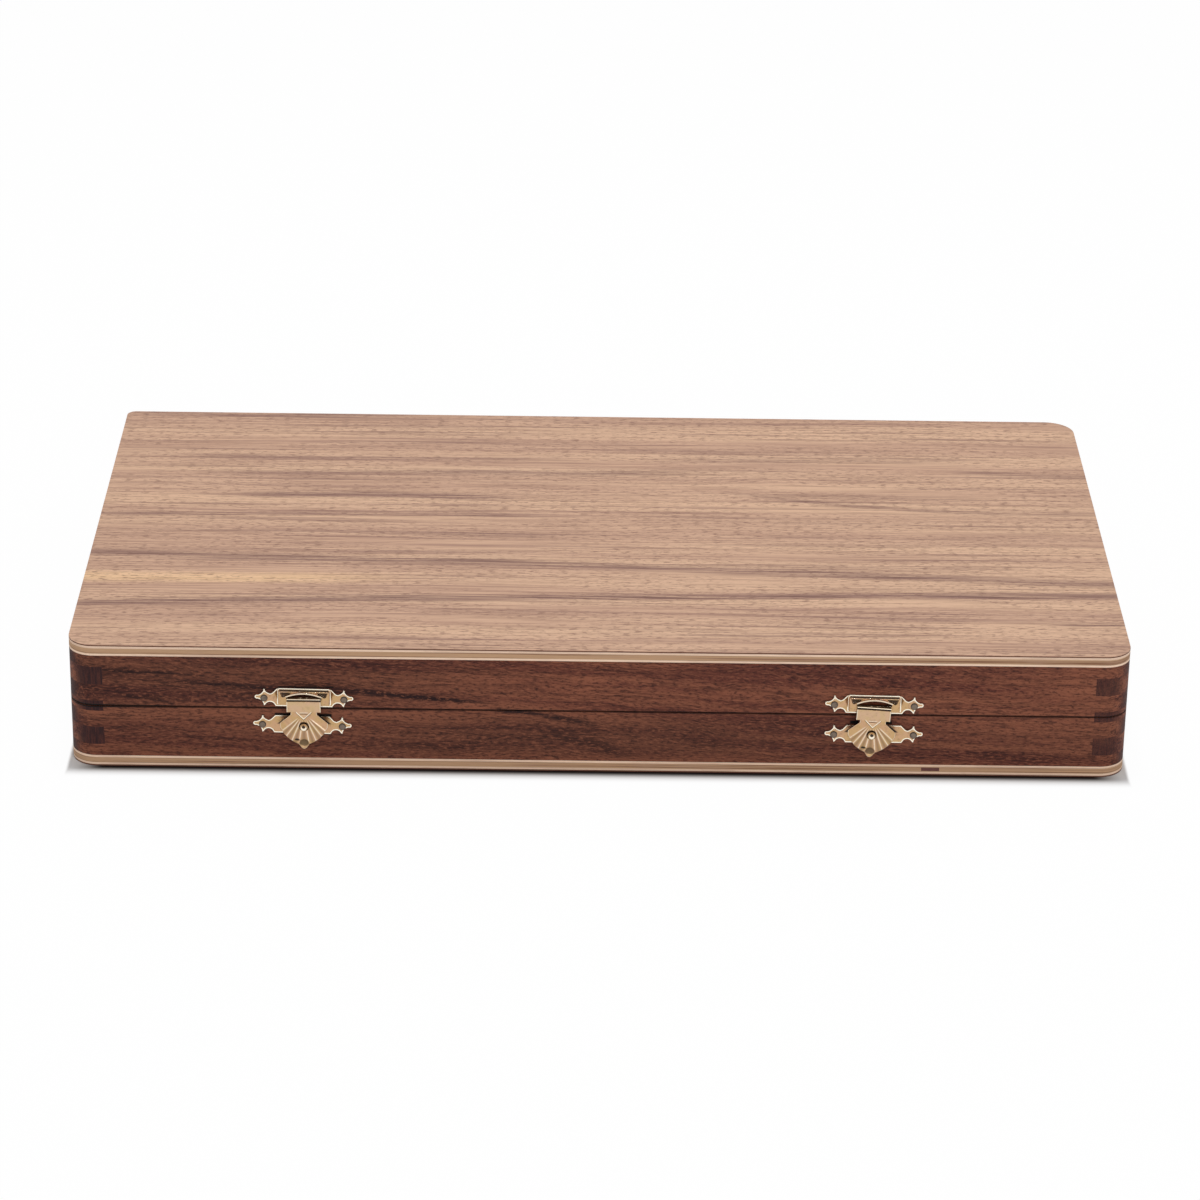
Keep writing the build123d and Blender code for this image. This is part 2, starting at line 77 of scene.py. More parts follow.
def tone(red, green, blue):
    """A display colour, 0 to 255 a channel, as the linear colour that a shader takes."""
    linear = []
    for channel in (red, green, blue):
        level = channel / 255
        linear.append(level / 12.92 if level <= 0.04045 else ((level + 0.055) / 1.055) ** 2.4)
    return tuple(linear)


def shade(label, display, note):
    """A colour property, with its default as a display colour."""
    colour = tone(*display)
    return bpy.props.FloatVectorProperty(
        name=label, description=note, default=colour, subtype="COLOR", size=3, min=0.0, max=1.0
    )


def length(label, millimetres, note):
    """A length property."""
    return bpy.props.FloatProperty(
        name=label, description=note, default=millimetres * MM, unit="LENGTH", min=0.0, precision=5
    )


def turn(label, degrees, note):
    """An angle property."""
    return bpy.props.FloatProperty(
        name=label, description=note, default=math.radians(degrees), subtype="ANGLE"
    )


def number(label, value, note, unit="NONE"):
    """A plain number property."""
    return bpy.props.FloatProperty(name=label, description=note, default=value, unit=unit, min=0.0)


def point(label, millimetres, note):
    """A property that holds a place."""
    start = tuple(value * MM for value in millimetres)
    return bpy.props.FloatVectorProperty(name=label, description=note, default=start, unit="LENGTH", size=3)


class BoardColours(bpy.types.PropertyGroup):
    veneer_mid: shade("Veneer", (192, 154, 130), "Main colour of the walnut veneer on both outer faces")
    veneer_pale: shade("Veneer, pale", (212, 174, 145), "Pale bands of the veneer")
    veneer_light: shade("Veneer, light", (232, 192, 150), "Yellow band at the left of the lid")
    veneer_dark: shade("Veneer, streaks", (106, 73, 70), "Purple-brown streaks of the veneer")
    veneer_pore: shade("Veneer, pores", (112, 77, 64), "Open pores of the veneer")
    veneer_edge: shade("Veneer, edge", (100, 58, 42), "Cut edge of the veneer")
    rail_mid: shade("Rails", (102, 55, 44), "Main colour of the walnut rails")
    rail_pale: shade("Rails, pale", (147, 90, 67), "Pale fibres of the rails")
    rail_dark: shade("Rails, streaks", (32, 15, 17), "Near-black streaks of the rails")
    rail_end: shade("Rails, end grain", (46, 28, 31), "End grain at the finger joints")
    # Painted shade: this colour darkens the rails beside the seam gap and paints the latches' shadows on the
    # front rails
    painted_shade: shade("Painted shade", (10, 7, 7), "Dirt in the seam and behind the latches")
    ply_face: shade("Face ply", (250, 218, 192), "Pale outer ply of the panels")
    ply_core: shade("Core ply", (196, 157, 123), "Tan core of the panels")
    ply_line: shade("Ply, lines", (120, 80, 58), "Brown lines in the edges of the plies")
    filler: shade("Filler", (96, 50, 42), "Dark filler in the base panel's core")
    brass: shade("Latch brass", (198, 162, 116), "Pale brass of the latches")
    brass_rosy: shade("Latch brass, rosy", (200, 160, 124), "Copper-toned patches of the latches")
    # Rubbed brass with a painted highlight: the latches' crests, edges, plate borders and rivet domes take
    # this colour
    brass_rubbed_and_highlight: shade("Latch brass, edges", (255, 246, 226), "Rubbed edges and crests of the latches")
    # Tarnish with painted shade and painted reflection: the latches' folds, hollows and shoulders take this
    # colour
    brass_tarnish_and_shade: shade("Brass, tarnish and shade", (34, 22, 14), "Tarnish in the folds of the latches")
    hinge: shade("Hinge brass", (216, 176, 110), "Brass of the hinges and their screws")
    nail: shade("Nail steel", (128, 114, 102), "Dull steel of the nail heads")
    spring: shade("Spring steel", (176, 178, 180), "Steel of the leaf springs")
    field: shade("Field", (176, 128, 92), "Veneer of the playing field")
    point_light: shade("Light points", (224, 192, 148), "Light inlaid points")
    point_dark: shade("Dark points", (84, 50, 38), "Dark inlaid points")
    man_light: shade("Light men", (222, 188, 140), "Wood of the light men")
    man_dark: shade("Dark men", (72, 42, 32), "Wood of the dark men")
    die: shade("Dice", (240, 236, 226), "Body of the dice")
    pip: shade("Pips", (28, 26, 30), "Pips of the dice")


class BoardSizes(bpy.types.PropertyGroup):
    man_radius: length("Man radius", 13.5, "Radius of a draughtsman")
    dice_size: length("Dice size", 9.0, "Edge of a die")
    dice_spread: length("Dice spread", 17.0, "Distance between the two dice")
    dice_turn: turn("Dice turn", 24.0, "How far each die is turned")
    hinge_spread: length("Hinge spread", 220.0, "Distance between the two hinges")
    screw_pitch: length("Screw pitch", 20.0, "Distance between the two screws of a hinge leaf")
    keeper_turn: turn("Keeper turn", -0.8, "Lean of both keeper plates")
    left_plate_turn: turn("Left plate turn", -1.2, "Lean of the left latch plate")
    right_plate_turn: turn("Right plate turn", 0.0, "Lean of the right latch plate")
    left_lean: turn("Left lever lean", 0.0, "Lean of the left lever")
    right_lean: turn("Right lever lean", 3.5, "Lean of the right lever")
    nail_spread: length("Nail spread", 28.6, "Distance between the two nails of a plate")
    # The rails' edges take painted shade this far from the seam
    seam_line: length("Seam line", 0.5, "How far from the seam the rails' edges are dark")
    edge: length("Pressed edge", 0.14, "Rounding of the pressed sheet's edges")
    border: length("Border", 0.34, "Width of the raised border round the plates")
    border_rise: length("Border rise", 0.07, "How far the border stands above the plate")


class BoardStage(bpy.types.PropertyGroup):
    camera_place: point("Camera place", (-8.72, -1473.4, 693.75), "Where the camera stands")
    camera_yaw: turn("Camera yaw", 0.355, "Turn of the camera about the upright axis")
    camera_pitch: turn("Camera pitch", 24.66, "How far the camera looks down")
    camera_roll: turn("Camera roll", 0.833, "Roll of the camera about its own axis")
    camera_lens: number("Lens", 127.17, "Focal length on a 36 mm wide sensor", "CAMERA")
    key_place: point("Overhead lamp place", (0.0, 120.0, 1600.0), "Where the soft overhead lamp hangs")
    key_size: length("Overhead lamp size", 300.0, "Side of the square overhead lamp")
    key_power: number("Overhead lamp power", 13.0, "Power of the overhead lamp", "POWER")
    fill_place: point("Front lamp place", (500.0, -1700.0, 1100.0), "Where the soft front lamp hangs")
    fill_size: length("Front lamp size", 1100.0, "Side of the square front lamp")
    fill_power: number("Front lamp power", 7.0, "Power of the front lamp", "POWER")
    world_level: number("Room light", 0.42, "Level of the even light from all round")
    floor_level: number("Floor", 0.9, "How pale the floor is")
    # Painted shadow: the floor takes this colour close before and behind the case
    contact: shade("Contact shadow", (38, 30, 29), "Colour of the floor close to the case")
    floor_white: number("Floor white", 0.97, "Share of plain white in the floor, away from the case")
    shadow_reach: length("Shadow reach", 9.0, "How far from the case its shadow has faded out")


# Finishes


def math_pair(operation):
    """An operator between a shader value and another value, and its reflected form. Each adds a Math node."""

    def straight(wire, other):
        return wire.shading.work_out(operation, wire, other)

    def reflected(wire, other):
        return wire.shading.work_out(operation, other, wire)

    return straight, reflected


class Wire:
    """A shader value in an expression. Between two values, | gives the greater one."""

    def __init__(self, shading, socket):
        self.shading = shading
        self.socket = socket

    __add__, __radd__ = math_pair("ADD")
    __sub__, __rsub__ = math_pair("SUBTRACT")
    __mul__, __rmul__ = math_pair("MULTIPLY")
    __truediv__, __rtruediv__ = math_pair("DIVIDE")
    __or__, __ror__ = math_pair("MAXIMUM")

    def __abs__(self):
        return self.shading.work_out("ABSOLUTE", self)


class Shading:
    """A node tree that expressions on values fill."""

    def __init__(self, owner):
        owner.use_nodes = True
        self.tree = owner.node_tree
        self.tree.nodes.clear()

    def node(self, kind, settings=None, inputs=None, output=0):
        """Add a node: its settings first, then its sockets' values or links. Returns one output."""
        made = self.tree.nodes.new(kind)
        for key, value in (settings or {}).items():
            setattr(made, key, value)
        for key, value in (inputs or {}).items():
            if isinstance(value, Wire):
                self.tree.links.new(value.socket, made.inputs[key])
            else:
                made.inputs[key].default_value = value
        return Wire(self, made.outputs[output])

    def work_out(self, operation, *terms):
        """Add a Math node."""
        return self.node("ShaderNodeMath", {"operation": operation}, dict(enumerate(terms)))

    def ray(self, kind):
        """1 for the rays of one kind, 0 for the others."""
        return self.node("ShaderNodeLightPath", output=f"Is {kind} Ray")

    def looked_at(self):
        """1 for the rays that look, straight or through glossy or clear surfaces, 0 for those that light."""
        return self.ray("Camera") | self.ray("Glossy") | self.ray("Transmission")

    def mixed_shader(self, share, first, second, output):
        """Two shaders mixed and led to the tree's output."""
        both = self.node("ShaderNodeMixShader", {}, {0: share, 1: first, 2: second})
        self.lead_out(both, output)

    def lead_out(self, shader, output):
        """Lead a shader to the tree's output."""
        made = self.tree.nodes.new(output)
        self.tree.links.new(shader.socket, made.inputs["Surface"])


class Finish(Shading):
    """One material, with its coordinates in millimetres."""

    def __init__(self, name):
        self.material = bpy.data.materials.new(name)
        super().__init__(self.material)
        self.x, self.y, self.z = (self.read("Object", axis) * (1.0 / MM) for axis in "XYZ")

    def read(self, source, axis):
        """One axis of the Object coordinates or of the Normal."""
        spot = self.node("ShaderNodeTexCoord", output=source)
        return self.node("ShaderNodeSeparateXYZ", {}, {"Vector": spot}, output=axis)

    def facing(self, axis):
        """How squarely the surface faces along an axis, 0 to 1."""
        return abs(self.read("Normal", axis))

    def noise(self, x, y, z, detail=2.0, rough=0.5):
        """Smooth noise, 0 to 1, with about one wave a unit of its coordinates."""
        spot = self.node("ShaderNodeCombineXYZ", {}, {0: x, 1: y, 2: z})
        return self.node(
            "ShaderNodeTexNoise", {}, {"Vector": spot, "Scale": 1.0, "Detail": detail, "Roughness": rough}
        )

    def mottle(self, scale, detail=2.0, rough=0.5):
        """Noise that is alike in all directions, with a scale in waves a millimetre."""
        return self.noise(self.x * scale, self.y * scale, self.z * scale, detail, rough)

    def rise(self, value, low, high):
        """0 below low, 1 above high, smooth between."""
        return self.node(
            "ShaderNodeMapRange", {"interpolation_type": "SMOOTHSTEP"},
            {"Value": value, "From Min": low, "From Max": high},
        )

    def within(self, value, low, high, soft):
        """1 between low and high, with soft ends."""
        return self.rise(value, low - soft, low + soft) * (1.0 - self.rise(value, high - soft, high + soft))

    def mix(self, factor, first, second):
        """Two colours mixed."""
        colours = [c if isinstance(c, Wire) else (*c, 1.0) for c in (first, second)]
        inputs = {0: factor, 6: colours[0], 7: colours[1]}
        return self.node("ShaderNodeMix", {"data_type": "RGBA"}, inputs, output=2)

    def streak(self, across, start, end, curve, width, soft):
        """A long streak along x, round the line across = curve[0] + curve[1] * x + curve[2] * x squared."""
        line = curve[0] + self.x * curve[1] + self.x * self.x * curve[2]
        spread = 1.0 - self.rise(abs(across - line) / width, 0.15, 1.0)
        return spread * self.within(self.x, start, end, soft)

    def streaked(self, colour, dark, across, marks, strength):
        """A colour with long streaks over it, each with a share of one strength."""
        for start, end, curve, width, soft, share in marks:
            mark = self.streak(across, start, end, curve, width, soft)
            colour = self.mix(mark * share * strength, colour, dark)
        return colour

    def surface(self, base, roughness, height, depth, metallic=0.0, specular=0.5, coat=0.0):
        """Finish the material. A height of 0 to 1 in its relief stands for a depth in millimetres."""
        normal = self.node("ShaderNodeBump", {}, {"Strength": 1.0, "Distance": depth * MM, "Height": height})
        shader = self.node("ShaderNodeBsdfPrincipled", {}, {
            "Base Color": base,
            "Roughness": roughness,
            "Metallic": metallic,
            "Specular IOR Level": specular,
            "Coat Weight": coat,
            "Coat Roughness": 0.2,
            "Normal": normal,
        })
        self.lead_out(shader, "ShaderNodeOutputMaterial")
        return self.material


# Marks of the wood

# A streak has its start and end along x, the level, slope and bow of its line, its half width, the softness
# of its ends, and its strength. Lengths are in millimetres
LID_STREAKS = (
    (-186.0, -104.0, (107.5, 0.0, 0.0), 3.2, 14.0, 0.6),
    (-160.0, -22.0, (67.3, 0.059, 0.00031), 2.6, 22.0, 0.7),
    (-140.0, 30.0, (51.9, 0.0315, 0.00005), 3.8, 26.0, 0.65),
    (-136.0, -38.0, (21.7, -0.136, -0.00073), 4.2, 16.0, 0.85),
    (-188.0, -10.0, (9.3, -0.016, -0.00014), 2.2, 20.0, 0.75),
    (-230.0, 230.0, (-36.9, -0.0503, -0.00004), 5.0, 30.0, 0.75),
    (-230.0, 230.0, (-64.3, 0.0421, -0.00005), 4.2, 30.0, 0.85),
    (60.0, 230.0, (52.2, -0.423, 0.00124), 2.6, 18.0, 0.6),
    (140.0, 230.0, (94.5, -0.409, 0.00102), 2.8, 12.0, 0.6),
    (165.0, 230.0, (-60.7, -0.278, 0.00084), 1.8, 8.0, 0.8),
)
LID_PALE_BAND = (-230.0, -90.0, (-44.0, 0.09, 0.0003), 6.5, 30.0)
RAIL_STREAKS = (
    (-240.0, -60.0, (35.0, 0.0, 0.0), 18.0, 50.0, 0.52),
    (-260.0, 260.0, (13.0, 0.0, 0.0), 14.0, 20.0, 0.24),
    (-80.0, 60.0, (13.0, 0.0, 0.0), 14.0, 40.0, 0.45),
    (-186.0, -140.0, (25.2, -0.075, 0.0), 0.8, 12.0, 0.8),
    (-184.0, -150.0, (-5.3, -0.2, 0.0), 0.8, 10.0, 0.6),
    (-150.0, -50.0, (24.4, -0.065, 0.0), 1.5, 16.0, 0.85),
    (-95.0, -40.0, (22.3, -0.103, 0.0), 1.2, 12.0, 0.8),
    (-36.0, -4.0, (18.6, -0.16, 0.0), 1.5, 8.0, 1.0),
    (-18.0, 8.0, (10.1, -0.3, 0.0), 3.6, 8.0, 0.62),
)

# A painted shadow strip has its left and right from the rivet of a latch, and its foot and top from the floor
LATCH_SHADOW_STRIPS = {
    "left": ((-10.6, -5.0, 20.6, 21.9), (4.8, 9.8, 20.4, 21.7), (-9.4, 10.6, 32.05, 32.55)),
    "right": ((-7.6, -4.6, 20.2, 21.6), (4.6, 7.4, 20.2, 21.5)),
}

# The painted shade of the seam widens between two distances to the left. The base's grain is the lid's,
# shifted along x and y
SEAM_GAPE = (140.0, 186.0)
BASE_SHIFT = (430.0, 270.0)


def veneer_finish(name, colours, upper):
    """Walnut veneer, its grain along the case. The upper face has its own streaks."""
    f = Finish(name)
    x = f.x if upper else f.x + BASE_SHIFT[0]
    y = f.y if upper else f.y + BASE_SHIFT[1]
    wander = f.noise(x * 0.006, y * 0.03, 0.0, 2.0) * 6.0 - 3.0
    ragged = f.noise(x * 0.03, y * 0.4, 5.0, 3.0, 0.6) * 3.6 - 1.8
    grain = y + wander
    bands = f.noise(x * 0.0018, grain * 0.07, 1.0, 2.0)
    lines = f.noise(x * 0.006, grain * 0.34, 4.0, 4.0, 0.62)
    fibres = f.noise(x * 0.016, grain * 0.95, 8.0, 4.0, 0.72)
    dashes = f.noise(x * 0.26, grain * 1.35, 15.0, 2.0, 0.6)
    patches = f.noise(x * 0.012, grain * 0.09, 21.0, 2.0)
    dash = f.rise(dashes, 0.53, 0.61) * f.rise(patches, 0.3, 0.52)
    fine = f.rise(fibres, 0.49, 0.58)
    colour = f.mix(f.rise(bands, 0.40, 0.64), colours.veneer_mid, colours.veneer_pale)
    colour = f.mix(f.rise(lines, 0.5, 0.68) * 0.5, colour, colours.veneer_dark)
    if upper:
        across = y + ragged + wander * 0.3
        strength = 0.3 + fine * 0.4 + lines * 0.7
        colour = f.streaked(colour, colours.veneer_dark, across, LID_STREAKS, strength)
        colour = f.mix(f.streak(across, *LID_PALE_BAND) * 0.85, colour, colours.veneer_light)
    colour = f.mix(fine * 0.32, colour, colours.veneer_pore)
    colour = f.mix((1.0 - f.rise(fibres, 0.38, 0.47)) * 0.55, colour, colours.veneer_pale)
    colour = f.mix(dash * 0.56, colour, colours.veneer_pore)
    colour = f.mix((1.0 - f.rise(f.facing("Z"), 0.3, 0.7)) * 0.9, colour, colours.veneer_edge)
    return f.surface(colour, 0.55 + fibres * 0.12, fibres * 0.5 - dash * 0.5, 0.06, specular=0.25)


def end_grain(f, across, colours):
    """The colour of solid walnut where it is cut across."""
    layers = f.noise(across * 1.7, f.z * 0.16, 3.0, 3.0, 0.6)
    dots = f.noise(across * 3.4, f.z * 3.4, 9.0, 1.0)
    colour = f.mix(f.rise(layers, 0.4, 0.65) * 0.45, colours.rail_end, colours.rail_mid)
    return f.mix(f.rise(dots, 0.5, 0.7) * 0.6, colour, colours.rail_dark)


def painted_seam_and_latch_shade(f, colour, shade_colour, seam_line, strips):
    """A rail's colour with painted shade along the seam, wider at the left, and painted shadow strips of the
    latches on its front.
    """
    seam_height = (cad_box[0][2] + cad_box[1][2]) / 2 / MM
    gape = f.rise(f.x * -1.0, *SEAM_GAPE) * 0.25
    seam = 1.0 - f.rise(abs(f.z - seam_height) - gape, seam_line * 0.5, seam_line)
    upright = 1.0 - f.rise(f.facing("Z"), 0.3, 0.7)
    colour = f.mix(seam * upright, colour, shade_colour)
    for left, right, foot, top in strips:
        strip = f.within(f.x, left, right, 0.25) * f.within(f.z, foot, top, 0.2)
        colour = f.mix(strip * upright, colour, shade_colour)
    return colour


def rail_finish(name, colours, sizes, lengthwise, marks=(), strips=()):
    """Solid walnut: fibres along one axis, rings across the others, and end grain where it is cut across."""
    f = Finish(name)
    along, across = (f.x, f.y) if lengthwise else (f.y, f.x)
    wander = f.noise(along * 0.012, across * 0.05, f.z * 0.06, 2.0) * 7.0 - 3.5
    fine_wander = f.noise(along * 0.05, across * 0.2, f.z * 0.25, 2.0) * 1.8 - 0.9
    grain = f.z + along * 0.04 + wander + fine_wander
    depth = across + wander * 0.6
    bands = f.noise(along * 0.005, depth * 0.12, grain * 0.16, 2.0)
    lines = f.noise(along * 0.022, depth * 0.7, grain * 0.75, 4.0, 0.65)
    fibres = f.noise(along * 0.12, depth * 1.2, grain * 1.3, 4.0, 0.72)
    pores = f.noise(along * 0.5, depth * 1.8, grain * 2.2, 2.0, 0.6)
    figure = f.noise(along * 0.018, depth * 0.1, grain * 0.36, 4.0, 0.62)
    pore = f.rise(pores, 0.54, 0.63)
    colour = f.mix(f.rise(bands, 0.35, 0.65), colours.rail_mid, colours.rail_pale)
    colour = f.mix(f.rise(lines, 0.46, 0.7) * 0.4, colour, colours.rail_dark)
    colour = f.mix(f.rise(figure, 0.58, 0.76) * 0.45, colour, colours.rail_dark)
    colour = f.mix(f.rise(fibres, 0.53, 0.61) * 0.5, colour, colours.rail_pale)
    colour = f.mix((1.0 - f.rise(fibres, 0.39, 0.48)) * 0.4, colour, colours.rail_dark)
    up = f.z + fine_wander * 1.4 + lines * 1.6 - 0.8
    colour = f.streaked(colour, colours.rail_dark, up, marks, 0.45 + lines)
    colour = f.mix(pore * 0.58, colour, colours.rail_dark)
    colour = f.mix((1.0 - f.rise(pores, 0.37, 0.44)) * 0.5, colour, colours.rail_pale)
    cut = f.rise(f.facing("X" if lengthwise else "Y"), 0.55, 0.95)
    cut_share = cut * (0.96 - f.rise(f.x, -150.0, 150.0) * 0.2)
    colour = f.mix(cut_share, colour, end_grain(f, across, colours))
    # Painted shade along the seam, and painted shadows beside and above the latches
    colour = painted_seam_and_latch_shade(f, colour, colours.painted_shade, sizes.seam_line / MM, strips)
    return f.surface(colour, 0.5 + lines * 0.2, fibres * 0.5 - pore * 0.6, 0.06, specular=0.14)


def ply_finish(name, colours, colour, lined):
    """One ply, seen at the panel's edge."""
    f = Finish(name)
    lines = f.noise(f.x * 0.012, f.y * 0.012, f.z * 1.8, 3.0, 0.65)
    stains = f.noise(f.x * 0.05, f.y * 0.05, f.z * 0.3, 2.0)
    fibres = f.noise(f.x * 0.3, f.y * 0.3, f.z * 2.6, 2.0)
    shown = f.mix(f.rise(lines, 0.46, 0.66) * lined, colour, colours.ply_line)
    shown = f.mix(f.rise(stains, 0.52, 0.75) * 0.35, shown, colours.veneer_mid)
    shown = f.mix(f.rise(fibres, 0.5, 0.78) * 0.3, shown, colours.ply_core)
    return f.surface(shown, 0.65, fibres, 0.04, specular=0.2)


def inlay_finish(name, colour, dark, lined=0.35):
    """Plain straight-grained inlay veneer of the playing field."""
    f = Finish(name)
    lines = f.noise(f.x * 0.012, f.y * 0.5, 2.0, 4.0, 0.6)
    fibres = f.noise(f.x * 0.1, f.y * 2.6, 6.0, 2.0)
    shown = f.mix(f.rise(lines, 0.42, 0.72) * lined, colour, dark)
    shown = f.mix(f.rise(fibres, 0.5, 0.8) * 0.25, shown, dark)
    return f.surface(shown, 0.38, fibres, 0.02, coat=0.15, specular=0.4)


def turned_wood_finish(name, colour, dark):
    """Polished wood of the men, with its grain across each man."""
    f = Finish(name)
    sway = f.mottle(0.03, 1.0) * 5.0
    lines = f.noise((f.x + sway) * 0.07, (f.y + sway) * 0.8, f.z * 0.8, 4.0, 0.6)
    fibres = f.noise(f.x * 0.2, f.y * 3.0, f.z * 3.0, 2.0)
    shown = f.mix(f.rise(lines, 0.4, 0.72) * 0.5, colour, dark)
    shown = f.mix(f.rise(fibres, 0.55, 0.8) * 0.3, shown, dark)
    return f.surface(shown, 0.3 + fibres * 0.1, fibres, 0.02, coat=0.35)


def metal_finish(name, colour, dark, roughness, marks, worn_and_lit=None, bright=None, rosy=None):
    """Pressed metal, with scuffs. Worn and lit runs from 1 for tarnish and painted shade in a fold to -1 for
    a rubbed crest with a painted highlight.
    """
    f = Finish(name)
    scuffs = f.mottle(0.9, 4.0, 0.65)
    specks = f.mottle(4.0)
    brushed = f.noise(f.x * 1.2, f.y * 6.0, f.z * 9.0, 2.0)
    stain_and_shade = f.rise(scuffs, 0.5, 0.78) * 0.45 * marks + f.rise(specks, 0.62, 0.76) * 0.35 * marks
    shown = colour
    if rosy:
        shown = f.mix(f.rise(f.mottle(0.3), 0.4, 0.6), colour, rosy)
    if worn_and_lit:
        # Positive values darken with tarnish and painted shade, negative ones lighten with rubbing and
        # painted highlights
        wear_and_light = worn_and_lit(f)
        rub_and_highlight = f.work_out("MINIMUM", (wear_and_light * -1.0) | 0.0, 1.0)
        shown = f.mix(rub_and_highlight, shown, bright)
        stain_and_shade = (stain_and_shade | wear_and_light) * (1.0 - rub_and_highlight)
    shown = f.mix(stain_and_shade, shown, dark)
    level = roughness + scuffs * 0.14 + stain_and_shade * 0.25
    return f.surface(shown, level, scuffs * 0.7 + brushed * 0.3, 0.03, metallic=1.0 - stain_and_shade * 0.5)


def latch_finish(name, colours, roughness, marks, worn_and_lit):
    """Pale brass with copper-toned patches."""
    bright, rosy = colours.brass_rubbed_and_highlight, colours.brass_rosy
    return metal_finish(name, colours.brass, colours.brass_tarnish_and_shade, roughness, marks, worn_and_lit, bright, rosy)


def kept_wear_and_light(finish):
    """The marks of wear, painted shade and painted highlight that a pressing or a turned head keeps as an
    attribute.
    """
    return finish.node("ShaderNodeAttribute", {"attribute_name": "wear_and_light"}, output="Fac")


# How far a keeper's shoulder and its lip stand out of the case, and where its pockets end, in millimetres
SHOULDER_OUT = (0.72, 1.84)
LIP_OUT = (2.88, 2.97)
POCKET_FOOT = (-1.95, -1.6)

# A line beside the flank of the lever: a point from the rivet, and the line's direction outwards
FLANK = (8.55, 0.06)
FLANK_NORMAL = (0.652, 0.759)


def keeper_shade_and_highlight(node):
    """Painted light on a keeper plate: a painted reflection darkens its shoulder and painted shade its
    pockets above its foot, and a painted highlight lights its lip.
    """
    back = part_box(node)[1].y / MM
    level = middle(node).z / MM

    def wear_and_light(finish):
        out = (finish.y - back) * -1.0
        pressed = finish.within(out, *SHOULDER_OUT, 0.06)
        flat = 1.0 - finish.rise(finish.facing("X"), 0.2, 0.5)
        above = finish.rise(finish.z - level, *POCKET_FOOT) * flat
        return pressed * above * 0.9 - finish.rise(out, *LIP_OUT) * 0.5

    return wear_and_light


def flank_shadow(rivet):
    """A painted shadow on a lower plate beside the flanks of the lever."""

    def wear_and_light(finish):
        across = abs(finish.x - rivet.x / MM)
        up = finish.z - rivet.z / MM
        gap = (across - FLANK[0]) * FLANK_NORMAL[0] + (up - FLANK[1]) * FLANK_NORMAL[1]
        return (1.0 - finish.rise(gap, 0.15, 0.85)) * finish.rise(up, -0.6, 0.1)

    return wear_and_light


def plain_finish(name, colour, dark, roughness):
    """Smooth plastic or putty with a faint mottle."""
    f = Finish(name)
    mottle = f.mottle(0.6, 3.0)
    shown = f.mix(f.rise(mottle, 0.45, 0.8) * 0.3, colour, dark)
    return f.surface(shown, roughness + mottle * 0.1, mottle, 0.02, coat=0.2)


# Modelling

SIDES = ("left", "right")
TRAYS = ("base", "lid")

# Thickness of the pressed sheet, and the distance of doubled points, in millimetres
SHEET = 0.6
DOUBLES = 0.002

# A plate's flat front faces the front this squarely and lies this near to its level, in millimetres. Its
# edges are rounded where they are sharper than an angle in degrees
FRONT_FACING = 0.97
SAME_LEVEL = 0.1
SHARP_EDGE = 28.0


def only(obj):
    """Select one object and make it active."""
    if bpy.context.mode != "OBJECT":
        bpy.ops.object.mode_set(mode="OBJECT")
    bpy.ops.object.select_all(action="DESELECT")
    obj.select_set(True)
    bpy.context.view_layer.objects.active = obj


def started(add, name, **values):
    """Start a piece from one of Blender's primitives, with nothing else selected."""
    bpy.ops.object.select_all(action="DESELECT")
    add(**values)
    obj = bpy.context.object
    obj.name = name
    return obj


def added(name, data):
    """A new object in the scene."""
    obj = bpy.data.objects.new(name, data)
    bpy.context.scene.collection.objects.link(obj)
    return obj


def apply_modifiers(obj):
    """Apply all modifiers of a piece, in their order."""
    only(obj)
    for modifier in list(obj.modifiers):
        bpy.ops.object.modifier_apply(modifier=modifier.name)


def settle(obj, matrix):
    """Move a piece to its place and leave its object at the origin."""
    only(obj)
    obj.matrix_world = matrix @ obj.matrix_world
    bpy.ops.object.transform_apply(location=True, rotation=True, scale=True)


def smooth(obj, degrees=35.0):
    """Shade a piece smooth, but for edges sharper than an angle."""
    only(obj)
    bpy.ops.object.shade_smooth_by_angle(angle=math.radians(degrees))


def close_up(obj):
    """Merge a piece's doubled points and turn its faces outwards."""
    only(obj)
    bpy.ops.object.mode_set(mode="EDIT")
    bpy.ops.mesh.select_all(action="SELECT")
    bpy.ops.mesh.remove_doubles(threshold=DOUBLES * MM)
    bpy.ops.mesh.normals_make_consistent(inside=False)
    bpy.ops.object.mode_set(mode="OBJECT")


def keep_wear_and_light(obj, values):
    """Keep the marks of wear, painted shade and painted highlight of each point of a piece as an attribute.
    """
    kept = obj.data.attributes.new("wear_and_light", "FLOAT", "POINT")
    kept.data.foreach_set("value", values)


def turned(name, rings, sides, wear_and_light=None):
    """A round piece drawn up ring by ring from its lower face. Wear and light gives a point's marks of wear,
    painted shade and painted highlight from its place.
    """
    radius, height = rings[0]
    obj = started(
        bpy.ops.mesh.primitive_circle_add, name,
        vertices=sides, radius=radius * MM, fill_type="NGON", location=(0.0, 0.0, height * MM),
    )
    bpy.ops.object.transform_apply(location=True, rotation=True, scale=True)
    bpy.ops.object.mode_set(mode="EDIT")
    bpy.ops.mesh.select_all(action="SELECT")
    for next_radius, next_height in rings[1:]:
        rise = (0.0, 0.0, (next_height - height) * MM)
        bpy.ops.mesh.extrude_region_move(TRANSFORM_OT_translate={"value": rise})
        ratio = next_radius / radius
        bpy.ops.transform.resize(value=(ratio, ratio, 1.0), center_override=(0.0, 0.0, 0.0))
        radius, height = next_radius, next_height
    bpy.ops.object.mode_set(mode="OBJECT")
    close_up(obj)
    if wear_and_light:
        keep_wear_and_light(obj, [wear_and_light(*(spot.co / MM)) for spot in obj.data.vertices])
    return obj


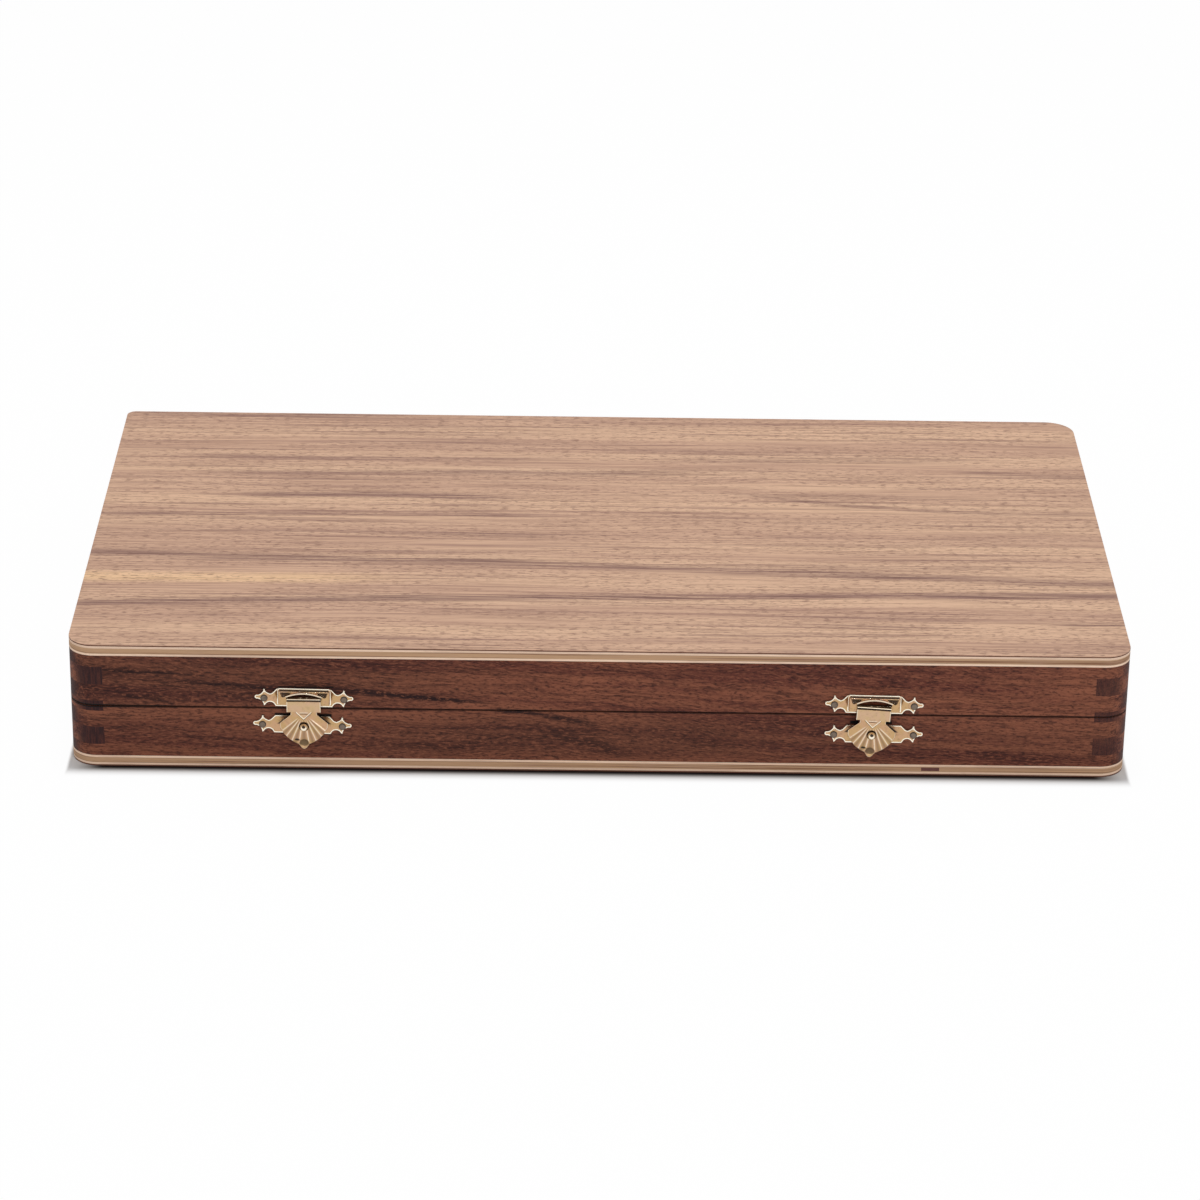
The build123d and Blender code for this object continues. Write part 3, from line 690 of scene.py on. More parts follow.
def pressing(name, columns, rows, thickness, form):
    """A sheet pressed over a form, which gives each point's place in millimetres and its marks of wear,
    painted shade and painted highlight.
    """
    grid = bpy.ops.mesh.primitive_grid_add
    obj = started(grid, name, x_subdivisions=columns, y_subdivisions=rows, size=1.0)
    wear_and_light = []
    for spot in obj.data.vertices:
        place, worn_and_lit = form(spot.co.x + 0.5, spot.co.y + 0.5)
        spot.co = Vector(place) * MM
        wear_and_light.append(worn_and_lit)
    keep_wear_and_light(obj, wear_and_light)
    close_up(obj)
    if sum(face.normal.z for face in obj.data.polygons) < 0.0:
        bpy.ops.object.mode_set(mode="EDIT")
        bpy.ops.mesh.select_all(action="SELECT")
        bpy.ops.mesh.flip_normals()
        bpy.ops.object.mode_set(mode="OBJECT")
    wall = obj.modifiers.new("Sheet", "SOLIDIFY")
    wall.thickness = thickness * MM
    wall.offset = -1.0
    apply_modifiers(obj)
    return obj


def rounded(obj, width, segments):
    """Add a bevel to a piece. Returns the modifier."""
    bevel = obj.modifiers.new("Rounded edges", "BEVEL")
    bevel.width = width
    bevel.segments = segments
    return bevel


def joined(pieces, name):
    """Several pieces as one."""
    only(pieces[0])
    for piece in pieces:
        piece.select_set(True)
    bpy.ops.object.join()
    pieces[0].name = name
    return pieces[0]


def copied(obj, name, matrix):
    """A copy with its own mesh, moved to its place."""
    twin = added(name, obj.data.copy())
    settle(twin, matrix)
    return twin


def node_copy(node, name):
    """A copy of a CAD node as a piece of its own, its triangles joined."""
    obj = added(name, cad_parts[node].data.copy())
    close_up(obj)
    return obj


def plate(node, name, sizes, face, edge):
    """A copy of a CAD plate with a raised border and rounded edges, both with a finish of their own, which
    paints a highlight on them.
    """
    obj = node_copy(node, name)
    bpy.ops.object.mode_set(mode="EDIT")
    bpy.ops.mesh.select_mode(type="FACE")
    bpy.ops.mesh.select_all(action="DESELECT")
    bpy.ops.object.mode_set(mode="OBJECT")
    dress(obj, face)
    obj.data.materials.append(edge)
    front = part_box(node)[1].y - SHEET * MM
    for side in obj.data.polygons:
        level = abs(side.center.y - front) < SAME_LEVEL * MM
        side.select = level and side.normal.y < -FRONT_FACING
    bpy.ops.object.mode_set(mode="EDIT")
    bpy.ops.mesh.inset(
        thickness=sizes.border, depth=-sizes.border_rise,
        use_boundary=True, use_even_offset=True, use_select_inset=True,
    )
    obj.active_material_index = 1
    bpy.ops.object.material_slot_assign()
    bpy.ops.mesh.select_mode(type="VERT")
    bpy.ops.object.mode_set(mode="OBJECT")
    bevel = rounded(obj, sizes.edge, 2)
    bevel.limit_method = "ANGLE"
    bevel.angle_limit = math.radians(SHARP_EDGE)
    bevel.material = 1
    apply_modifiers(obj)
    smooth(obj)
    return obj


def slot_cut(obj, width, reach, depth):
    """Cut a screwdriver slot across a screw's head, which lies at height 0."""
    blade = started(bpy.ops.mesh.primitive_cube_add, "blade", size=1.0, location=(0.0, 0.0, 0.0))
    blade.scale = (width * MM, reach * MM, 2.0 * depth * MM)
    only(blade)
    bpy.ops.object.transform_apply(location=True, rotation=True, scale=True)
    cut = obj.modifiers.new("Slot", "BOOLEAN")
    cut.operation = "DIFFERENCE"
    cut.solver = "EXACT"
    cut.object = blade
    apply_modifiers(obj)
    bpy.data.objects.remove(blade)


def dress(obj, material):
    """Give a piece one finish."""
    obj.data.materials.clear()
    obj.data.materials.append(material)


def dress_nodes(material, *names):
    """Give CAD nodes one finish."""
    for name in names:
        dress(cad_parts[name], material)


def stand_for(obj, body, node):
    """A finished piece rides on a body in the place of a CAD node."""
    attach(obj, body)
    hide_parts(node)


def stand_in(obj, material, body, node):
    """Finish a piece that stands for a CAD node."""
    dress(obj, material)
    stand_for(obj, body, node)


def middle(node):
    """The middle of a CAD node's box."""
    low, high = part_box(node)
    return (low + high) / 2


def front_matrix(place, lean):
    """From a latch's own plane to the case: x to the right, y up, z out of the front, leaning by an angle."""
    upright = Matrix.Rotation(math.radians(90.0), 4, "X")
    return Matrix.Translation(place) @ upright @ Matrix.Rotation(lean, 4, "Z")


# A ring of a turned piece is its radius and height in millimetres
SCREW_RINGS = [(0.8, -8.0), (0.8, -0.9), (1.55, -0.05), (1.5, 0.0)]
NAIL_RINGS = [(0.55, -7.0), (0.55, 0.0), (1.28, 0.0), (1.3, 0.14), (1.18, 0.3), (0.9, 0.38), (0.4, 0.42)]
RIVET_RINGS = [
    (0.78, -4.0), (0.78, 3.85), (1.4, 3.85), (1.44, 3.95), (1.4, 4.1), (1.2, 4.15), (1.19, 4.4), (1.12, 4.68),
    (1.0, 4.85), (0.84, 4.98), (0.66, 5.06), (0.48, 5.11), (0.3, 5.13), (0.12, 5.14),
]
PIP_RINGS = [(0.5, -0.3), (0.75, -0.1), (0.75, 0.0), (0.55, 0.02)]


def man_rings(radius, tall):
    """The rings of a man, alike on both faces: a sunk middle, a raised ring and a rounded rim."""
    half = [(0.4, 0.55), (6.0, 0.55), (6.6, 0.2), (7.2, 0.2), (7.8, 0.55), (9.6, 0.55), (10.1, 0.0),
            (radius - 1.0, 0.0), (radius - 0.35, 0.25), (radius - 0.06, 0.8), (radius - 0.04, tall / 2)]
    return half + [(ring, tall - height) for ring, height in reversed(half[:-1])]


# Lever

# Its flutes run out from an apex above the rivet. Sizes are in millimetres from the rivet, or in degrees. A
# pair says where a change starts and ends
APEX = 5.2
SHELL_FACE = 3.35
MIDDLE_FLUTE = 9.0
FLUTE = 13.3
LAST_CREST = MIDDLE_FLUTE + 3 * FLUTE
FAN_SIDE = 60.0
FAN_REACH = 12.45
FAN_TAPER = 0.0458
SCALLOP = 0.25
STEPS_A_FLUTE = 8
RIM_STEP = 0.35
LOBE = ((0.0, -8.9), (0.5, -8.75), (0.95, -8.35), (1.6, -7.4), (1.83, -7.0))
SHOULDERS = ((8.55, 1.35), (4.65, 4.7), (4.65, 5.95), (0.0, 5.95))
FLUTE_RISE = 0.036
LOBE_DISH = ((0.0, -6.4), 2.0, 1.6)
LEFT_SHADE_SPOT = ((-2.5, -5.1), 1.15, 0.5)
SHELL_TOP = 5.6
SEAT_FADE = (1.7, 2.6)
SEAT_PIT = (1.45, 1.75)
SEAT_RING = (1.62, 1.85)

# The tab goes up its face, over a bead and back. The two shares say where its face and its bead end
TAB_FACE = 3.6
TAB_HALF = 6.05
TAB_FOOT = 5.75
TAB_BEND = 10.7
TAB_BEAD = 0.3
TAB_DEPTH = 0.95
TAB_GROOVE = 10.3
FACE_SHARE = 0.8
BEAD_SHARE = 0.93
TONGUE_HALF = 2.75
TONGUE_SLOT = 5.1
TONGUE_CREASE = 5.6


def ease(value, low, high):
    """0 below low, 1 above high, smooth between."""
    share = min(max((value - low) / (high - low), 0.0), 1.0)
    return share * share * (3.0 - 2.0 * share)


def flute_share(degrees):
    """How far across its flute a direction lies, 0 and 1 at the crests."""
    side = abs(degrees)
    if side < MIDDLE_FLUTE:
        return (side + MIDDLE_FLUTE) / (2.0 * MIDDLE_FLUTE)
    return (side - MIDDLE_FLUTE) / FLUTE % 1.0


def shell_rim():
    """Points round the shell, from the middle of its top down the left, over the lobe and up again."""
    half = list(LOBE)
    count = int((FAN_SIDE - MIDDLE_FLUTE) / FLUTE * STEPS_A_FLUTE)
    for degrees in [MIDDLE_FLUTE + index * FLUTE / STEPS_A_FLUTE for index in range(count + 1)] + [FAN_SIDE]:
        reach = FAN_REACH - FAN_TAPER * degrees + SCALLOP * math.sin(math.pi * flute_share(degrees))
        angle = math.radians(degrees)
        half.append((reach * math.sin(angle), APEX - reach * math.cos(angle)))
    half.extend(SHOULDERS)
    points = [half[0]]
    for last, here in zip(half, half[1:]):
        pieces = max(1, round(math.dist(last, here) / RIM_STEP))
        for index in range(1, pieces + 1):
            share = index / pieces
            points.append((last[0] + (here[0] - last[0]) * share, last[1] + (here[1] - last[1]) * share))
    return [(-x, y) for x, y in reversed(points)] + points[1:]


def oval(x, y, centre, half_width, half_height):
    """1 in the middle of an oval, 0 at its rim and outside."""
    away = ((x - centre[0]) / half_width) ** 2 + ((y - centre[1]) / half_height) ** 2
    return max(0.0, 1.0 - away)


def wear_and_light_share(dark, bright):
    """One value of the marks, in which dark tarnish and painted shade go before rubbing and painted
    highlight.
    """
    dark = min(dark, 1.0)
    return dark - bright * (1.0 - min(1.0, 2.0 * dark)) if bright > 0.05 else dark


def shell_point(rim, out):
    """A point of the shell's face on the way from the apex to a point of its rim, and its painted shade and
    painted highlight.
    """
    x = rim[0] * out
    y = APEX + (rim[1] - APEX) * out

    # Flutes, which grow from the apex and fade at the sides and on the lobe, with painted shade in their
    # hollows and painted highlights on their crests
    reach = math.hypot(x, y - APEX)
    degrees = math.degrees(math.atan2(x, APEX - y))
    side = abs(degrees)
    share = flute_share(degrees)
    fan = ease(reach, 2.2, 4.6) * (1.0 - ease(side, LAST_CREST, LAST_CREST + 4.0))
    fan *= 1.0 - ease(reach, 11.6, 12.6) * (1.0 if side < MIDDLE_FLUTE - 1.0 else 0.0)
    height = FLUTE_RISE * reach * (1.0 - math.sqrt(math.sin(math.pi * share) ** 2 + 0.01)) * fan
    width = 2 * MIDDLE_FLUTE if side < MIDDLE_FLUTE else FLUTE
    crest = math.radians(min(share, 1.0 - share) * width) * reach
    dark = 0.4 * math.sin(math.pi * share) ** 2 * fan
    bright = (1.0 - ease(crest, 0.06, 0.34)) * fan * 0.62

    # Dish of the lobe, with painted shade in it, and a spot of painted shade to its left
    dish = oval(x, y, *LOBE_DISH)
    height -= 0.6 * dish
    dark = max(dark, 0.72 * min(1.0, 2.2 * dish), oval(x, y, *LEFT_SHADE_SPOT) * 1.8)

    # Rounded rim with a painted highlight, and a painted shadow along the foot of the tongue
    rim_gap = (1.0 - out) * math.hypot(rim[0], rim[1] - APEX)
    if y < SHELL_TOP:
        bright = max(bright, 0.55 * (1.0 - ease(rim_gap, 0.1, 0.3)))
    height -= 0.16 * (1.0 - ease(rim_gap, 0.0, 0.16))
    beside = (APEX - 2.2 + abs(x) - y) / math.sqrt(2.0)
    if abs(x) < 3.2 and y > 1.8:
        dark = max(dark, 0.9 * (1.0 - ease(beside, 0.14, 0.4)))

    # Flat seat of the rivet, with a sunk middle and a ring of painted shade round the rivet, and the step
    # under the tab
    seat = math.hypot(x, y)
    height *= ease(seat, *SEAT_FADE)
    height -= 0.5 * (1.0 - ease(seat, *SEAT_PIT))
    dark = max(dark, 1.0 - ease(seat, *SEAT_RING))
    height -= 0.1 * ease(y, 5.5, 5.75)
    return (x, y, SHELL_FACE + height), wear_and_light_share(dark, bright)


def tab_face(x, share):
    """A point of the tab's face, from its foot, where share is 0, up to its bend, and its painted shade and
    painted highlight.
    """
    # Painted highlights on the tab's sides, the lip of the tongue and its crease; painted shade in the slot
    # and in the groove under the bead
    dark = 0.0
    bright = max(0.1, 0.6 * ease(abs(x), TAB_HALF - 0.36, TAB_HALF - 0.14))
    foot = min(TAB_FOOT, TAB_FOOT - TONGUE_HALF + abs(x))
    y = foot + (TAB_BEND - foot) * share
    z = TAB_FACE
    above = y - foot
    if abs(x) < TONGUE_HALF:
        lip = 1.0 - ease(above, 0.22, 0.46)
        z += 0.14 * lip
        bright = max(bright, 0.85 * lip)
        if abs(x) < 1.5 and above > 0.6:
            slot = 1.0 - ease(abs(y - TONGUE_SLOT), 0.1, 0.2)
            z -= 0.14 * slot
            dark = 0.85 * slot
            bright = max(bright, 0.5 * (1.0 - ease(abs(y - TONGUE_CREASE), 0.1, 0.24)))
    z -= 0.22 * (1.0 - ease(above, 0.0, 0.9)) * ease(abs(x), TONGUE_HALF, TONGUE_HALF + 0.6)
    groove = 1.0 - ease(abs(y - TAB_GROOVE), 0.26, 0.38)
    z -= 0.34 * groove
    return (x, y, z), wear_and_light_share(max(dark, groove), bright)


def tab_point(x, along):
    """A point of the tab, from its foot up its face, over the bead of its fold and back to the case."""
    if along < FACE_SHARE:
        return tab_face(x, along / FACE_SHARE)
    if along < BEAD_SHARE:
        swing = (along - FACE_SHARE) / (BEAD_SHARE - FACE_SHARE) * math.pi / 2
        y = TAB_BEND + TAB_BEAD * math.sin(swing)
        z = TAB_FACE - TAB_BEAD + TAB_BEAD * math.cos(swing)
        # The front of the bead takes a painted highlight and its top painted shade
        dark, bright = (0.0, 0.6) if swing < 0.8 else (0.8, 0.0)
        return (x, y, z), wear_and_light_share(dark, bright)
    # The part that turns back to the case is painted dark as shade
    z = TAB_FACE - TAB_BEAD - (along - BEAD_SHARE) / (1.0 - BEAD_SHARE) * TAB_DEPTH
    return (x, TAB_BEND + TAB_BEAD, z), 0.9


# Operators


class BOARD_OT_stage(bpy.types.Operator):
    """Add the floor, the lamps and the camera"""

    bl_idname = "board.stage"
    bl_label = "Stage"

    def execute(self, context):
        values = context.scene.board_stage
        context.scene.view_settings.view_transform = "Standard"
        self.floor(values)
        self.room(context.scene, values)
        self.lamp("Overhead lamp", values.key_place, values.key_size, values.key_power)
        self.lamp("Front lamp", values.fill_place, values.fill_size, values.fill_power)
        self.camera(context.scene, values)
        return {"FINISHED"}

    def floor(self, values):
        """A pale floor with the case's shadow, a painted contact shadow close before and behind it, seen by
        the camera only, and white further off.
        """
        floor = started(bpy.ops.mesh.primitive_plane_add, "floor", size=30.0, location=(0.0, 0.0, 0.0))
        paper = Finish("Floor paper")
        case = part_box("base_outer_veneer")[1] / MM
        beside = abs(paper.x) - case.x
        away = (beside * 5.0) | (abs(paper.y) - case.y)
        before = 1.0 - paper.rise(beside, -12.0, 0.0)
        close = (1.0 - paper.rise(away, 0.8, 5.5)) * before * paper.ray("Camera")
        colour = paper.mix(close, (values.floor_level,) * 3, values.contact)
        diffuse = paper.node("ShaderNodeBsdfDiffuse", {}, {"Color": colour})
        white = paper.node("ShaderNodeEmission", {}, {"Strength": 1.0})
        share = paper.looked_at() * paper.rise(away, 1.5, values.shadow_reach / MM) * values.floor_white
        paper.mixed_shader(share, diffuse, white, "ShaderNodeOutputMaterial")
        dress(floor, paper.material)

    def room(self, scene, values):
        """Even light from all round, with plain white behind for the rays that look."""
        scene.world = bpy.data.worlds.new("Room")
        room = Shading(scene.world)
        white = (1.0, 1.0, 1.0, 1.0)
        light = room.node("ShaderNodeBackground", {}, {"Color": white, "Strength": values.world_level})
        backdrop = room.node("ShaderNodeBackground", {}, {"Color": white, "Strength": 1.0})
        room.mixed_shader(room.looked_at(), light, backdrop, "ShaderNodeOutputWorld")

    def lamp(self, name, place, size, power):
        """A square soft lamp that looks at the case."""
        data = bpy.data.lights.new(name, "AREA")
        data.shape = "SQUARE"
        data.size = size
        data.energy = power
        lamp = added(name, data)
        lamp.location = place
        lamp.rotation_euler = (-Vector(place)).to_track_quat("-Z", "Y").to_euler()

    def camera(self, scene, values):
        """The camera at the photograph's viewing angle."""
        yaw, pitch, roll = values.camera_yaw, values.camera_pitch, values.camera_roll
        forward = Vector((math.sin(yaw) * math.cos(pitch), math.cos(yaw) * math.cos(pitch), -math.sin(pitch)))
        level = Vector((math.cos(yaw), -math.sin(yaw), 0.0))
        above = level.cross(forward)
        right = math.cos(roll) * level + math.sin(roll) * above
        up = math.cos(roll) * above - math.sin(roll) * level
        axes = Matrix((right, up, -forward)).transposed().to_4x4()
        data = bpy.data.cameras.new("Camera")
        data.lens = values.camera_lens
        data.sensor_width = 36.0
        scene.camera = added("Camera", data)
        scene.camera.matrix_world = Matrix.Translation(Vector(values.camera_place)) @ axes


class BOARD_OT_panels(bpy.types.Operator):
    """Finish the veneers and plies of both panels"""

    bl_idname = "board.panels"
    bl_label = "Panels"

    def execute(self, context):
        colours = context.scene.board_colours
        dress_nodes(veneer_finish("Walnut veneer, lid", colours, upper=True), "lid_outer_veneer")
        dress_nodes(veneer_finish("Walnut veneer, base", colours, upper=False), "base_outer_veneer")
        face = ply_finish("Face ply", colours, colours.ply_face, lined=0.3)
        core = ply_finish("Core ply", colours, colours.ply_core, lined=0.85)
        for tray in TRAYS:
            dress_nodes(face, f"{tray}_face_ply", f"{tray}_back_ply")
            dress_nodes(core, f"{tray}_core_ply")
        dress_nodes(plain_finish("Core filler", colours.filler, colours.rail_dark, 0.6), "base_core_filler")
        return {"FINISHED"}


class BOARD_OT_rails(bpy.types.Operator):
    """Finish the eight rails"""

    bl_idname = "board.rails"
    bl_label = "Rails"

    def execute(self, context):
        colours, sizes = context.scene.board_colours, context.scene.board_sizes
        # Painted shadows beside and above each latch
        strips = []
        for side in SIDES:
            rivet = middle(f"{side}_latch_rivet").x / MM
            for left, right, foot, top in LATCH_SHADOW_STRIPS[side]:
                strips.append((rivet + left, rivet + right, foot, top))
        front = rail_finish("Walnut, front rails", colours, sizes, True, RAIL_STREAKS, strips)
        back = rail_finish("Walnut, back rails", colours, sizes, lengthwise=True)
        side = rail_finish("Walnut, side rails", colours, sizes, lengthwise=False)
        for tray in TRAYS:
            dress_nodes(front, f"{tray}_front_rail")
            dress_nodes(back, f"{tray}_back_rail")
            dress_nodes(side, f"{tray}_left_rail", f"{tray}_right_rail")
        return {"FINISHED"}


class BOARD_OT_fields(bpy.types.Operator):
    """Finish both playing fields and their points"""

    bl_idname = "board.fields"
    bl_label = "Playing fields"

    def execute(self, context):
        colours = context.scene.board_colours
        ground = inlay_finish("Field veneer", colours.field, colours.veneer_pore)
        light = inlay_finish("Light inlay", colours.point_light, colours.veneer_mid)
        dark = inlay_finish("Dark inlay", colours.point_dark, colours.rail_dark, lined=0.6)
        for tray in TRAYS:
            dress_nodes(ground, f"{tray}_field")
            dress_nodes(light, f"{tray}_light_points")
            dress_nodes(dark, f"{tray}_dark_points")
        return {"FINISHED"}


class BOARD_OT_hinges(bpy.types.Operator):
    """Finish the hinges and add their slotted screws"""

    bl_idname = "board.hinges"
    bl_label = "Hinges"

    def execute(self, context):
        colours, sizes = context.scene.board_colours, context.scene.board_sizes
        brass = metal_finish("Hinge brass", colours.hinge, colours.brass_tarnish_and_shade, roughness=0.3, marks=0.5)
        dress_nodes(brass, "base_hinge_leaves", "lid_hinge_leaves", "hinge_pins")
        model = turned("screw", SCREW_RINGS, 32)
        slot_cut(model, width=0.42, reach=4.0, depth=0.35)
        for tray in TRAYS:
            node = f"{tray}_hinge_screws"
            low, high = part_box(node)
            across = (low.y + high.y) / 2
            if tray == "base":
                seat = Matrix.Translation((0.0, across, high.z))
            else:
                seat = Matrix.Translation((0.0, across, low.z)) @ Matrix.Rotation(math.pi, 4, "X")
            screws = []
            for side in (-1.0, 1.0):
                for step in (-1.0, 1.0):
                    x = side * sizes.hinge_spread / 2 + step * sizes.screw_pitch / 2
                    # Each slot was left at its own angle
                    own_turn = Matrix.Rotation(0.7 * side + 0.4 * step, 4, "Z")
                    place = Matrix.Translation((x, 0.0, 0.0)) @ seat @ own_turn
                    screws.append(copied(model, f"{tray}_screw", place))
            whole = joined(screws, f"{tray}_slotted_screws")
            smooth(whole)
            stand_in(whole, brass, tray, node)
        bpy.data.objects.remove(model)
        return {"FINISHED"}


class BOARD_OT_latch_plates(bpy.types.Operator):
    """Round the edges of the pressed latch plates and finish the springs"""

    bl_idname = "board.latch_plates"
    bl_label = "Latch plates"

    def execute(self, context):
        colours, sizes = context.scene.board_colours, context.scene.board_sizes
        # The plates' borders and rounded edges take a painted highlight
        edge = metal_finish("Plate edge highlight", colours.brass_rubbed_and_highlight, colours.brass_tarnish_and_shade, roughness=0.2, marks=0.3)
        steel = metal_finish("Spring steel", colours.spring, colours.nail, roughness=0.3, marks=0.4)
        for side in SIDES:
            keeper, lower = f"{side}_keeper_plate", f"{side}_latch_plate"
            rivet = middle(f"{side}_latch_rivet")
            for node, name, brass, wear_and_light, body in (
                (keeper, f"{side}_keeper", f"Keeper brass, {side}", keeper_shade_and_highlight(keeper), "lid"),
                (lower, f"{side}_lower_plate", f"Plate brass, {side}", flank_shadow(rivet), "base"),
            ):
                face = latch_finish(brass, colours, roughness=0.26, marks=0.9, worn_and_lit=wear_and_light)
                stand_for(plate(node, name, sizes, face, edge), body, node)
            node = f"{side}_latch_spring"
            spring = node_copy(node, f"{side}_spring")
            smooth(spring)
            stand_in(spring, steel, "base", node)
            seat = middle(node)
            seat.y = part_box(node)[1].y
            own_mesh(spring)
        return {"FINISHED"}


class BOARD_OT_latch_levers(bpy.types.Operator):
    """Add the two levers, each with its folded tab and scallop shell"""

    bl_idname = "board.latch_levers"
    bl_label = "Latch levers"

    def execute(self, context):
        colours, sizes = context.scene.board_colours, context.scene.board_sizes
        brass = latch_finish("Lever brass", colours, roughness=0.24, marks=0.6, worn_and_lit=kept_wear_and_light)
        rim = shell_rim()
        last = len(rim) - 1
        tab_thickness = TAB_FACE - SHELL_FACE + SHEET - 0.02

        def shell_form(across, out):
            return shell_point(rim[round(across * last)], out)

        def tab_form(across, along):
            return tab_point((across * 2.0 - 1.0) * TAB_HALF, along)

        for side, lean in zip(SIDES, (sizes.left_lean, sizes.right_lean)):
            shell = pressing("shell", last, 64, SHEET, shell_form)
            tab = pressing("tab", 96, 80, tab_thickness, tab_form)
            lever = joined([shell, tab], f"{side}_lever")
            rivet = middle(f"{side}_latch_rivet")
            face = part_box(f"{side}_latch_plate")[1].y
            settle(lever, front_matrix((rivet.x, face, rivet.z), -lean))
            smooth(lever, 50.0)
            stand_in(lever, brass, f"{side}_lever", f"{side}_latch_lever")
        return {"FINISHED"}


def nail_rim_shade(x, y, z):
    """Painted shade round the rim of a nail's head."""
    return 0.6 * ease(math.hypot(x, y), 0.85, 1.2)


def rivet_wear_and_light(x, y, z):
    """The marks of a rivet: dull round its flange, a dark painted reflection above its middle, and a painted
    highlight on its dome.
    """
    if math.hypot(x, y) > 1.22 or z < 4.2:
        return 0.3
    pit = oval(x, y, (0.0, 0.62), 0.75, 0.6)
    return 1.8 * pit - 0.9 * (1.0 - min(1.0, 4.0 * pit))


class BOARD_OT_latch_fixings(bpy.types.Operator):
    """Add the nails and the domed rivets of the latches"""

    bl_idname = "board.latch_fixings"
    bl_label = "Latch nails and rivets"

    def execute(self, context):
        colours, sizes = context.scene.board_colours, context.scene.board_sizes
        dull, bright = colours.nail, colours.brass_rubbed_and_highlight
        steel = metal_finish("Nail steel", dull, colours.pip, 0.55, 0.9, kept_wear_and_light, dull)
        brass = metal_finish("Rivet brass", colours.brass, colours.brass_tarnish_and_shade, 0.16, 0.3, kept_wear_and_light, bright)
        nail = turned("nail", NAIL_RINGS, 32, nail_rim_shade)
        rivet = turned("rivet", RIVET_RINGS, 64, rivet_wear_and_light)
        for side, plate_turn in zip(SIDES, (sizes.left_plate_turn, sizes.right_plate_turn)):
            low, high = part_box(f"{side}_latch_plate")
            for nails, body, lean in (
                (f"{side}_keeper_nails", "lid", sizes.keeper_turn),
                (f"{side}_latch_nails", "base", plate_turn),
            ):
                centre = middle(nails)
                pair = []
                for step in (-0.5, 0.5):
                    shift = Matrix.Translation((step * sizes.nail_spread, 0.0, 0.0))
                    seat = front_matrix((centre.x, low.y, centre.z), lean) @ shift
                    pair.append(copied(nail, "nail_copy", seat))
                both = joined(pair, f"{nails}_round")
                smooth(both)
                stand_in(both, steel, body, nails)
            centre = middle(f"{side}_latch_rivet")
            head = copied(rivet, f"{side}_rivet", front_matrix((centre.x, high.y, centre.z), 0.0))
            smooth(head, 50.0)
            stand_in(head, brass, "base", f"{side}_latch_rivet")
        bpy.data.objects.remove(nail)
        bpy.data.objects.remove(rivet)
        return {"FINISHED"}


class BOARD_OT_men(bpy.types.Operator):
    """Add the fifteen light and fifteen dark men"""

    bl_idname = "board.men"
    bl_label = "Draughtsmen"

    columns = 5
    rows = 3

    def execute(self, context):
        colours, sizes = context.scene.board_colours, context.scene.board_sizes
        radius = sizes.man_radius
        for shown, colour, dark in (
            ("light", colours.man_light, colours.veneer_mid),
            ("dark", colours.man_dark, colours.rail_dark),
        ):
            node = f"{shown}_men"
            low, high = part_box(node)
            man = turned("man", man_rings(radius / MM, (high.z - low.z) / MM), 56)
            pitch_x = (high.x - low.x - 2 * radius) / (self.columns - 1)
            pitch_y = (high.y - low.y - 2 * radius) / (self.rows - 1)
            copies = []
            for column in range(self.columns):
                for row in range(self.rows):
                    place = (low.x + radius + column * pitch_x, low.y + radius + row * pitch_y, low.z)
                    # Each man lies turned its own way
                    own_turn = Matrix.Rotation(0.9 * column + 2.1 * row, 4, "Z")
                    copies.append(copied(man, "man_copy", Matrix.Translation(place) @ own_turn))
            bpy.data.objects.remove(man)
            block = joined(copies, f"{shown}_draughtsmen")
            smooth(block)
            finish = turned_wood_finish(f"{shown.capitalize()} men", colour, dark)
            stand_in(block, finish, "base", node)
        return {"FINISHED"}


